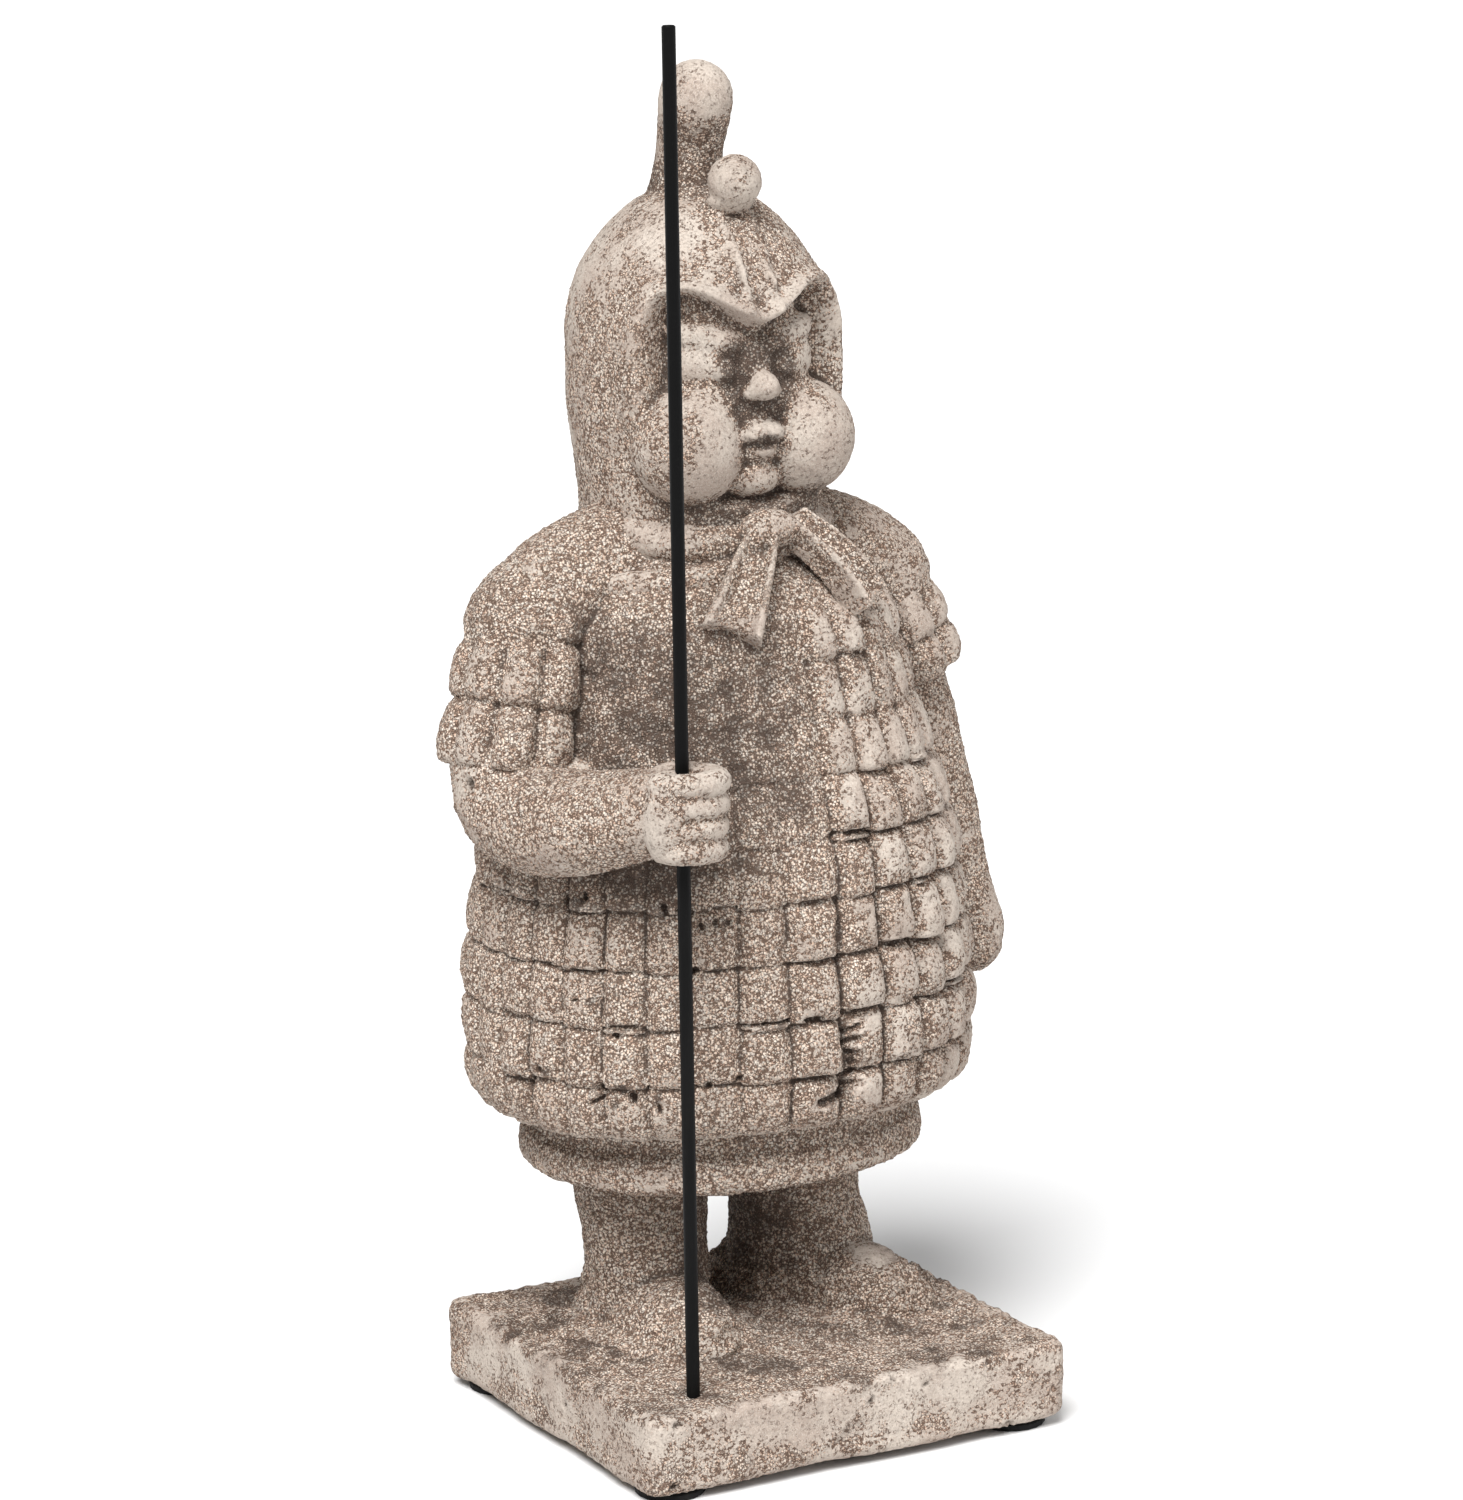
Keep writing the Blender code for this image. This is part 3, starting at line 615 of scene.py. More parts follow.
# %% Upper coat, shoulders and sleeves, melted
UPPER_LOW = 186.5
SHOULDERS = [
    (-71, -1, 246, 20.5), (-62, 0, 252.5, 20.5), (-50, 2, 258, 21), (-25, 4, 264, 22.5), (0, 5, 265, 22),
    (25, 4, 264, 22), (50, 1, 257.5, 20.5), (63, 0, 249.5, 19.3),
]
bm = bmesh.new()
levels = [UPPER_LOW + 0.7 + (268 - UPPER_LOW) * k / 100 for k in range(100)]
grow(bm, [coat_ring(UPPER_LOW, 512, 14), *(coat_ring(z, 512, kept=1) for z in levels)])
limb(bm, through(SHOULDERS, 30), sides=32)
egg(bm, (0, 17, 254), (52, 34, 24), fine=64)
sleeve(bm, **RIGHT_SLEEVE)
sleeve(bm, **LEFT_SLEEVE)
upper_coat = melt("shoulders_and_sleeves", bm, 1.08, smooth=1)
weather(upper_coat, coarse=0.55, skin_bias=-0.28, skinned=coat_skin, stained_and_shaded=coat_stain_and_shade)

# %% [markdown]
# ## Arms and hands
#
# Both arms are bare below the sleeves. The right one is bent and its fist closes round the rod: four
# fingers lie over one another like a stack of short bars, and the thumb is behind. Each finger is a limb
# that bends round the rod, melted with the back of the hand and the forearm. The left arm hangs down,
# half sunk in the coat, and ends in a simple closed hand.

# %% The right arm and its fist
RIGHT_ARM = [
    (-72, 0, 236, 17), (-81, -5, 212, 17.5), (-83.8, -12, 193, 18.2), (-82, -25, 187.5, 18),
    (-77, -40, 188, 17.6), (-70, -54, 191, 16.2), (-62, -68, 194.5, 14.6), (-59, -75, 196, 13),
]
FINGER_PATH = [(-10, -3), (-6.5, -8.5), (1, -10.5), (7.5, -9), (11, -4), (9.5, 4), (5, 7)]
FINGER_PITCH = 7.1
bm = bmesh.new()
limb(bm, through(RIGHT_ARM, 26), sides=40)
egg(bm, (ROD_X - 3, ROD_Y + 3, FIST_HEIGHT), (11.5, 10, 14.2), (0, 0, -20), fine=40)
egg(bm, (ROD_X - 7.2, ROD_Y - 3.6, FIST_HEIGHT + 0.3), (8.4, 8.6, 14.6), (0, 6, -35), fine=40)
egg(bm, (-66, -25, 196), (8.5, 11, 10), fine=32)
for k in range(4):
    height = FIST_HEIGHT + FINGER_PITCH * (1.5 - k)
    shorter = 1 - 0.035 * k
    path = [
        (
            ROD_X + x * shorter, ROD_Y + y * shorter, height + (0.6 - k * 0.5) * (i / 6),
            4.25 - 0.1 * i if i > 3 else 4.2,
        )
        for i, (x, y) in enumerate(FINGER_PATH)
    ]
    limb(bm, through(path, 22), sides=20)
thumb = [(-9, 6, 6, 5), (-2, 8, 10.5, 4.8), (6, 4, 11.5, 4.2)]
limb(bm, through([(ROD_X + x, ROD_Y + y, FIST_HEIGHT + z, r) for x, y, z, r in thumb], 12), sides=20)
right_arm = melt("right_arm", bm, 0.74, smooth=1)


def hand_skin(places):
    """The hand keeps some of its smooth cement skin, and the forearm has lost it."""
    return 0.45 * steps(26, 14, apart(places, ROD_X, ROD_Y, FIST_HEIGHT))


weather(right_arm, skin_bias=-0.20, skinned=hand_skin, holes=14)

# %% The left arm and its hand
LEFT_ARM = [
    (64, 4, 238, 16), (77, 3, 205, 15.5), (82, 2, 186, 14.6), (88, 2, 165, 14.2), (91, 1, 150, 13.3),
    (94, 0, 137, 13), (97.5, -3, 123, 12.5), (97.5, -4, 117.5, 11.6),
]
bm = bmesh.new()
limb(bm, through(LEFT_ARM, 30), sides=36)
for x, y, low in ((101, -11.5, 110), (103, -5, 107.5), (102.5, 1.5, 109), (100, 7, 112)):
    finger = [(x - 3, y, 127, 4.2), (x - 0.5, y, 119, 4.6), (x - 2.5, y, low + 3.5, 3.9)]
    limb(bm, through(finger, 10), sides=16)
left_arm = melt("left_arm", bm, 0.92, smooth=2)
weather(left_arm, skin_bias=-0.15)

# %% [markdown]
# ## The slab
#
# The slab was cast face down in a simple frame, so its edges are rounded and its sides are smoother than
# its top, which carries crumbs of mortar round the shoes. A bevelled block is cut into fine even faces
# first, and then weathered like the rest.

# %% The slab under the figure
SLAB_SIZE = (160, 152, 27)
SLAB_CORNER = 6.0
SLAB_EDGE = 3.5
bm = bmesh.new()
block = bmesh.ops.create_cube(bm, size=1)["verts"]
slab_middle = Vector((STAND.x, STAND.y - 20, 3 + SLAB_SIZE[2] / 2))
slab_scale = Matrix.Diagonal((*(s * MM for s in SLAB_SIZE), 1))
bmesh.ops.transform(bm, matrix=Matrix.Translation(slab_middle * MM) @ slab_scale, verts=block)
upright = [e for e in bm.edges if abs(e.verts[0].co.z - e.verts[1].co.z) > 0.01]
rounding = {"profile": 0.5, "affect": "EDGES", "material": -1}
bmesh.ops.bevel(bm, geom=upright, offset=SLAB_CORNER * MM, segments=8, **rounding)
level = [e for e in bm.edges if abs(e.verts[0].co.z - e.verts[1].co.z) < 0.0001]
bmesh.ops.bevel(bm, geom=level, offset=SLAB_EDGE * MM, segments=5, **rounding)
slab = melt("slab", bm, 1.15)


def slab_skin(places):
    """The mould left the slab's rim and sides smooth. The top is rough, and the sides are, low down."""
    x, y, z = places.T
    rim = steps(15, 5, np.minimum(80 - np.abs(x), 76 - np.abs(y + 20)))
    side = steps(-1, -5, z) * (0.68 - 0.36 * steps(-13, -22, z))
    return np.maximum(0.35 * rim, side) + 0.35 * humps(places, 26, 8)


def mortar_crumbs(places):
    """Crumbs of mortar lie round the shoes."""
    near = np.minimum(apart(places, -29, -8, 0), apart(places, 29, -8, 0))
    return (0.7 + 1.5 * steps(62, 44, near)) * steps(-4, -1, places[:, 2]) * steps(22, 10, places[:, 2])


def slab_stain(places):
    """Dirt gathers round the shoes."""
    near = np.minimum(apart(places, -29, -8, 0), apart(places, 29, -8, 0))
    top = steps(-6, 0, places[:, 2])
    spread = 0.60 * steps(0.1, 0.60, humps(places, 13, 31)) + 0.45 * steps(0.05, 0.5, humps(places, 5, 33))
    sides = 0.22 * steps(0.1, 0.7, humps(places, 9, 35))
    return top * (0.35 * steps(60, 34, near) + spread) + (1 - top) * sides


weather(
    slab, coarse=0.6, waves=1.0, skin_bias=-0.22, skinned=slab_skin, stained_and_shaded=slab_stain, holes=60,
    crumbs=mortar_crumbs,
)

# %% [markdown]
# ## Legs, shoes and the robe's hem
#
# Two thick legs come out of the robe, which shows as a band under the coat, and end in blunt shoes that
# are bedded in mortar. The right shoe points forward and the left one turns out.

# %% Legs, shoes, robe and the mortar round the shoes
RIGHT_LEG = [
    (-29, 6, 62, 23), (-28.5, 6, 45, 22.6), (-28, 5, 30, 21.3), (-27.5, 5, 16, 21), (-27.5, 5, 2, 22),
]
LEFT_LEG = [(30, 6, 62, 24), (30.5, 6, 45, 23.5), (31, 5, 33, 23), (32, 4, 21, 25), (33, 4, 4, 26.5)]
SHOE_LENGTHWAYS = [(-12, 17), (6, 20), (20, 19), (34, 17.5), (42, 14)]
ROBE_LEVELS = [
    (57, 60), (57.2, 66), (58, 68.8), (60, 70.2), (63, 70.2), (66.5, 69.8), (69, 69.2), (70.6, 67.4),
    (73, 67), (84, 68),
]


def robe_ring(z, radius, points=220):
    ring = []
    for k in range(points):
        angle = 2 * math.pi * k / points
        fold = 0.7 * noise.noise(Vector((math.sin(angle) * 3, math.cos(angle) * 3, z / 60)))
        ring.append(at(*oval(angle, radius + fold, radius * 0.84 + fold, 2.1), z))
    return ring


bm = bmesh.new()
grow(bm, [robe_ring(z, radius) for z, radius in ROBE_LEVELS])
for side, leg, turn, lift in ((-1, RIGHT_LEG, 2, 1), (1, LEFT_LEG, 27, 3)):
    limb(bm, through(leg, 16), sides=40)
    way = Vector((math.sin(math.radians(turn)) * side, -math.cos(math.radians(turn)), 0))
    heel = Vector((side * 28, 6, lift))
    shoe = [(*(heel + way * distance), radius) for distance, radius in SHOE_LENGTHWAYS]
    limb(bm, through(shoe, 18), sides=32)
    middle = heel + way * 14
    egg(bm, (middle.x, middle.y, -2), (31, 43, 6.5), (0, 0, side * turn), fine=72)
legs = melt("legs_and_robe", bm, 1.05, smooth=1)


def leg_painted_shade(places):
    """Painted shade darkens the legs under the robe, most of all between them, and the robe's upper part
    under the coat, over a faint even darkening.
    """
    x, y, z = places.T
    under = steps(2, 22, z) * steps(62, 56, z)
    between = steps(34, 10, np.abs(x + 1)) * steps(6, 16, z) * (z < 58)
    return 0.02 + 0.24 * under + 0.5 * between + 0.22 * steps(65.5, 68.5, z)


def toe_skin(places):
    """The left shoe has one bare, pale patch."""
    return 1.1 * steps(15, 7, apart(places, 45, -24, 17))


weather(legs, skin_bias=-0.28, skinned=toe_skin, stained_and_shaded=leg_painted_shade, crumbs=mortar_crumbs)

# %% [markdown]
# ## The head
#
# A close hood covers all but the round face, and its raised rim dips to a point between the brows. The
# face is a plain doll's: puffed cheeks, a button nose, a small mouth and nearly closed eyes. The hood is
# grown ring by ring with the rim as relief, the face is built up of eggs as in clay, and all of it is
# melted together with the hair knot and the bead in front of it.

# %% The hood's shape and the rim round the face
HEAD_MIDDLE_Y = 7.5
HOOD_DEPTH_SHARE = 1.05
HOOD_PROFILE = [
    (256, 36), (270, 39.5), (283, 39.8), (290, 40.4), (297, 41.2), (303, 42), (310, 42.8), (317, 43.4),
    (330, 43.3), (344, 42.8), (357, 39.6), (364, 36), (370, 31.6), (377, 25), (382, 18.5), (387, 8),
]
HALF_FACE_OUTLINE = [
    (0, 346), (9, 351), (18, 357), (26, 358.5), (32.5, 354), (36.5, 342), (37, 328), (35.5, 316),
    (36.5, 306), (33, 294), (24, 286), (10, 283), (0, 282),
]
RIM_HEIGHT, RIM_HALF = 4.0, 3.0
FACE_RECESS = 6.5


def round_outline(points, rounds=3):
    """Cuts the corners of a closed outline, again and again."""
    for _ in range(rounds):
        cut = []
        for (ax, az), (bx, bz) in zip(points, points[1:] + points[:1]):
            cut += [(t * ax + (1 - t) * bx, t * az + (1 - t) * bz) for t in (0.75, 0.25)]
        points = cut
    return points


mirrored = HALF_FACE_OUTLINE + [(-x, z) for x, z in reversed(HALF_FACE_OUTLINE[1:-1])]
face_outline = np.array(round_outline(mirrored, 2))
outline_next = np.roll(face_outline, -1, axis=0)


def face_distance(x, z):
    """How far a place in front view is from the edge of the face opening. Inside it is negative."""
    way = outline_next - face_outline
    t = ((x - face_outline[:, 0]) * way[:, 0] + (z - face_outline[:, 1]) * way[:, 1]) / (way**2).sum(axis=1)
    near = face_outline + np.clip(t, 0, 1)[:, None] * way
    distance = math.sqrt((((near - (x, z)) ** 2).sum(axis=1)).min())
    spans = (face_outline[:, 1] > z) != (outline_next[:, 1] > z)
    level = np.where(way[:, 1] == 0, 1, way[:, 1])
    crossing = face_outline[:, 0] + (z - face_outline[:, 1]) * way[:, 0] / level
    inside = np.count_nonzero(spans & (x < crossing)) % 2 == 1
    return -distance if inside else distance


def hood_relief(x, z):
    distance = face_distance(x, z)
    brow = smoothstep(312, 340, z)
    kept = (0.92 + 0.08 * brow) * (0.12 + 0.88 * smoothstep(307, 315, z))
    relief = RIM_HEIGHT * kept * math.exp(-((distance / RIM_HALF) ** 2))
    if distance < 0:
        relief -= (FACE_RECESS + 3 * smoothstep(20, 30, abs(x))) * smoothstep(0.5, 4.5, -distance)
    band = smoothstep(345, 350, z) * smoothstep(389, 380, z)
    ridges = 1.9 * math.exp(-(((abs(x) - 5.0) / 1.9) ** 2))
    lumps = noise.noise(Vector((x / 3.2, 0, z / 4.5)))
    between = 0.9 * smoothstep(7.5, 5.5, abs(x)) * (1 + 1.4 * lumps)
    relief += band * (between + ridges * (1 + 1.1 * lumps))
    fold = math.exp(-(((z - 362 - 5 * math.cos(x / 9)) / 1.6) ** 2))
    fold *= smoothstep(8, 12, abs(x)) * smoothstep(34, 26, abs(x))
    return relief + 0.7 * fold


HOOD_ROWS, HOOD_POINTS = 150, 260
hood_rings = []
for row in range(HOOD_ROWS + 1):
    z = HOOD_PROFILE[0][0] + (HOOD_PROFILE[-1][0] - HOOD_PROFILE[0][0]) * row / HOOD_ROWS
    radius = along_curve(HOOD_PROFILE, z)
    ring = []
    for k in range(HOOD_POINTS):
        x, y = oval(2 * math.pi * k / HOOD_POINTS, radius, radius * HOOD_DEPTH_SHARE, 2.1)
        larger = 1 + hood_relief(x, z) / math.hypot(x, y) if y < 0 else 1
        ring.append(at(x * larger, HEAD_MIDDLE_Y + y * larger, z))
    hood_rings.append(ring)
print("hood", len(hood_rings), "rings")

# %% The face, first as clay of its own
bm = bmesh.new()
egg(bm, (0, -14, 314), (29, 21, 31), fine=64)
egg(bm, (0, -37.4, 324.4), (5.2, 5.8, 4.8), (14, 0, 0))
egg(bm, (0, -30.6, 331.5), (6.4, 5.4, 9.5), (-14, 0, 0))
egg(bm, (0, -31.8, 306), (10.5, 5.0, 9))
egg(bm, (0, -28.6, 294.0), (10.5, 8.0, 7.0))
egg(bm, (0, -35.2, 302.8), (4.6, 4.4, 2.7), (-10, 0, 0))
for side in (-1, 1):
    egg(bm, (side * 4.2, -35.8, 322.6), (3.2, 3.6, 2.8))
    egg(bm, (side * 3.0, -36.4, 309.6), (4.9, 5.0, 3.2), (12, side * 14, side * 16))
    egg(bm, (side * 20.8, -23.5, 304.5), (19.2, 17.8, 19.6), fine=56)
    egg(bm, (side * 15.5, -26.8, 319), (12.5, 7.0, 8.0), (0, 0, side * 22))
    egg(bm, (side * 15.5, -24.6, 331), (11, 7.6, 9.5), (0, 0, side * 26))
    egg(bm, (side * 12.8, -30.8, 329.2), (5.4, 4.0, 3.7), (6, side * -8, side * 20))
    egg(bm, (side * 15.5, -28.2, 332.2), (8.6, 4.6, 3.0), (6, side * -10, side * 24))
    egg(bm, (side * 14.0, -26.0, 339.8), (14.5, 6.4, 5.6), (24, side * -12, side * 24))
clay = melt("face", bm, 0.75, smooth=7)
face_clay = clay.data
bpy.data.objects.remove(clay)
pieces.pop("face")
print("face", len(face_clay.polygons), "faces")

# %% The head: hood, face, hair knot and bead
bm = bmesh.new()
grow(bm, hood_rings)
bm.from_mesh(face_clay)
for side in (-1, 1):
    ledge = [(39, -12, 317, 2.4), (36.8, -18.5, 315, 3.0), (33.5, -25.5, 314.8, 3.0), (29.5, -30, 316, 2.4)]
    limb(bm, through([(side * x, y, z, r) for x, y, z, r in ledge], 12), sides=16)
knot = [
    (0, 13, 375, 17), (0, 12.5, 385, 13), (0, 11.5, 393, 11.5), (0, 9, 403, 11.3), (-0.5, 5.5, 412, 12.3),
    (-0.5, 4.5, 415.5, 12.3),
]
limb(bm, through(knot, 18), sides=36, end_steps=8)
egg(bm, (0.9, -18.4, 389.6), (9.0, 9.0, 9.0), fine=40)
egg(bm, (0.6, -15.5, 383.5), (8.4, 7.5, 4.5), fine=32)
head = melt("head_in_hood", bm, 0.86, smooth=3)


def head_skin_and_highlight(places):
    """The face and the bead keep more of their smooth cement skin. The knot's top and the hood's upper left
    are paler too, partly a painted highlight where the light falls from above and the left.
    """
    x, y, z = places.T
    face = 0.30 * steps(44, 32, np.hypot(x, (z - 318) * 0.8)) * steps(-14, -26, y)
    bead = 0.45 * steps(14, 9, apart(places, 0.9, -18.4, 389.6))
    # The hood's upper left is paler, partly a painted highlight where the light falls.
    lit_crown = 0.35 * steps(340, 372, z) * steps(0, -14, x)
    return np.maximum.reduce([face, bead, 0.35 * steps(404, 422, z), lit_crown])


def head_stain_and_shade(places):
    """Painted shade darkens the hollows beside the nose, round the mouth, the line between the lips and the
    underside of the chin, and the knot's stem is darker.
    """
    x, y, z = places.T
    front = steps(-16, -24, y)
    eyes = steps(13, 5, np.hypot(np.abs(x) - 5.0, (z - 328) * 0.75)) * steps(-38.5, -34, y)
    mouth = steps(14, 7, np.hypot(x, (z - 301) * 0.9)) * steps(-35.5, -31.5, y)
    chin = steps(292, 282, z)
    lips = 1.3 * steps(3.4, 1.6, np.hypot(x * 0.55, z - 306.2)) * (y < -34)
    stem = 0.5 * steps(380, 386, z) * steps(412, 404, z)
    return front * np.maximum.reduce([1.3 * eyes, 1.0 * mouth, 0.8 * chin, lips]) + stem * (y > -8)


weather(head, coarse=0.36, fine=0.70, waves=0.3, skin_bias=0.06, skinned=head_skin_and_highlight, stained_and_shaded=head_stain_and_shade)

# %% [markdown]
# ## The scarf
#
# A roll of cloth lies round the neck and is knotted in front. Its two tails lie on the chest: the right
# one widens to a scalloped end, and the left one is a narrow strip with both edges raised.

# %% The scarf's roll, knot and tails
bm = bmesh.new()
circle = bmesh.ops.create_circle(bm, cap_ends=False, segments=20, radius=6.6 * MM)["verts"]
bmesh.ops.rotate(bm, verts=circle, cent=(0, 0, 0), matrix=Matrix.Rotation(math.pi / 2, 3, "X"))
bmesh.ops.translate(bm, verts=circle, vec=(36.5 * MM, 0, 0))
bmesh.ops.spin(
    bm, geom=bm.edges[:] + circle, cent=(0, 0, 0), axis=(0, 0, 1), angle=2 * math.pi, steps=96,
    use_merge=True,
)
tilt = Matrix.Rotation(math.radians(4), 4, "X") @ Matrix.Diagonal((1, 0.95, 1.1, 1))
bmesh.ops.transform(bm, matrix=Matrix.Translation(at(0, 3, 274.5)) @ tilt, verts=bm.verts[:])
egg(bm, (2, -37, 277), (11, 6.5, 6.5), (0, 8, 0))
egg(bm, (-3.5, -38.5, 275.5), (5.0, 5.6, 5.8), (0, 20, 0))
cape = [
    (-51, 7, 257.5, 4.6), (-46, -15, 258.5, 5.2), (-34, -27.3, 260, 5.2), (-20, -34, 262, 4.8),
    (-8, -38, 266, 3.8),
]
limb(bm, through(cape, 26), sides=20)
TAIL_ENDS = {"right": ((0, -38, 278), (-21.5, -52.5, 246)), "left": ((11, -37, 280), (34, -49.5, 252))}
TAIL_HALF_WIDTHS = {"right": [(0, 4.6), (0.4, 7.2), (1, 10.2)], "left": [(0, 5.2), (0.5, 6.4), (1, 7.2)]}


def tail(name, side, slices=22, points=44):
    """A flat strip of cloth with raised edges, from the knot down the chest."""
    top, bottom = (Vector(end) for end in TAIL_ENDS[name])
    line = bottom - top
    out = Vector((side * 0.36, -0.80, 0.48)).normalized()
    across = line.cross(out).normalized()
    rings = []
    for step in range(slices + 1):
        share = step / slices
        half = along_curve(TAIL_HALF_WIDTHS[name], share)
        ring = []
        for k in range(points):
            turn = 2 * math.pi * k / points
            w, upper = math.cos(turn), math.sin(turn) > 0
            raised = 2.8 * math.exp(-(((abs(w) - 0.78) / 0.20) ** 2))
            depth = (1.0 + raised - 1.2 * (1 - w * w)) if upper else -9
            if abs(math.sin(turn)) < 0.12:
                depth = 0.0
            scallop = (2.6 * (1 - w * w) if name == "right" else 0) * smoothstep(0.8, 1, share)
            bend = 3.0 * math.sin(math.pi * share)
            place = top + line * share - line.normalized() * scallop + out * (bend + depth)
            ring.append(at(*(place + across * half * w)))
        rings.append(ring)
    grow(bm, rings)


tail("right", -1)
tail("left", 1)
scarf = melt("scarf", bm, 0.82, smooth=1)


def scarf_stain(places):
    """The scarf's tails are a little dirtier than its roll."""
    return 0.10 * steps(276, 268, places[:, 2])


weather(scarf, coarse=0.36, fine=0.75, waves=0.3, skin_bias=0.0, stained_and_shaded=scarf_stain)

# %% [markdown]
# ## Shader maths
#
# Materials here are built by writing expressions. A small class wraps a node's output, so that adding,
# subtracting or multiplying two of them adds the Math node that does it. That reads like the formula it
# is, and it keeps long node chains short.

# %% A class for shader expressions
class Wire:
    """A socket in a material's node tree. Arithmetic on it adds Math nodes."""

    def __init__(self, tree, socket):
        self.tree, self.socket = tree, socket

    def node(self, kind, settings=None, out=0, **values):
        """Adds a node. Settings are its properties, values its sockets by name or number."""
        made = self.tree.nodes.new(kind)
        for name, value in (settings or {}).items():
            if name == "stops":
                ramp = made.color_ramp
                while len(ramp.elements) < len(value):
                    ramp.elements.new(0.5)
                for element, (place, colour) in zip(ramp.elements, value):
                    element.position, element.color = place, (*colour, 1)
            else:
                setattr(made, name, value)
        for name, value in values.items():
            socket = made.inputs[int(name[1:]) if name[1:].isdigit() else name.replace("_", " ")]
            if isinstance(value, Wire):
                self.tree.links.new(value.socket, socket)
            else:
                socket.default_value = value
        return Wire(self.tree, made.outputs[out])

    def math(self, operation, a, b=0.0):
        return self.node("ShaderNodeMath", {"operation": operation}, i0=a, i1=b)

    def __add__(self, other):
        return self.math("ADD", self, other)

    def __radd__(self, other):
        return self.math("ADD", other, self)

    def __sub__(self, other):
        return self.math("SUBTRACT", self, other)

    def __rsub__(self, other):
        return self.math("SUBTRACT", other, self)

    def __mul__(self, other):
        return self.math("MULTIPLY", self, other)

    def between(self, low, high):
        """0 below low, 1 above high, and smooth between."""
        smooth = {"interpolation_type": "SMOOTHSTEP"}
        return self.node("ShaderNodeMapRange", smooth, Value=self, From_Min=low, From_Max=high)

    def paint(self, colour, over):
        """This mask lays a colour over another."""
        return self.node("ShaderNodeMix", {"data_type": "RGBA"}, out=2, i0=self, i6=over, i7=colour)


def new_material(name):
    """An empty Principled material: its shader node and a wire of Object coordinates."""
    made = bpy.data.materials.new(name)
    made.use_nodes = True
    tree = made.node_tree
    shader = tree.nodes["Principled BSDF"]
    place = Wire(tree, tree.nodes.new("ShaderNodeTexCoord").outputs["Object"])
    return made, shader, place


def cloud(place, scale, detail=2.0, roughness=0.5):
    """Soft noise from 0 to 1, with scale in features per metre."""
    return place.node("ShaderNodeTexNoise", Vector=place, Scale=scale, Detail=detail, Roughness=roughness)


def grains(place, scale, out="Distance"):
    """Cells like packed sand grains."""
    return place.node("ShaderNodeTexVoronoi", out=out, Vector=place, Scale=scale)


print("shader helpers ready")

# %% [markdown]
# ## The cement
#
# Close up, the casting is sand in grey-brown cement: warm beige grains and a few nearly black or rusty ones,
# with the pores between them darkened as painted shade. From a step away it has paler and pinker patches.
# Painted shade darkens the recesses, dirt lies in patches, and the raised edges are bleached. The same
# material goes on all pieces of the casting, because they are one pour. The stored relief tells it where
# recesses and edges are.

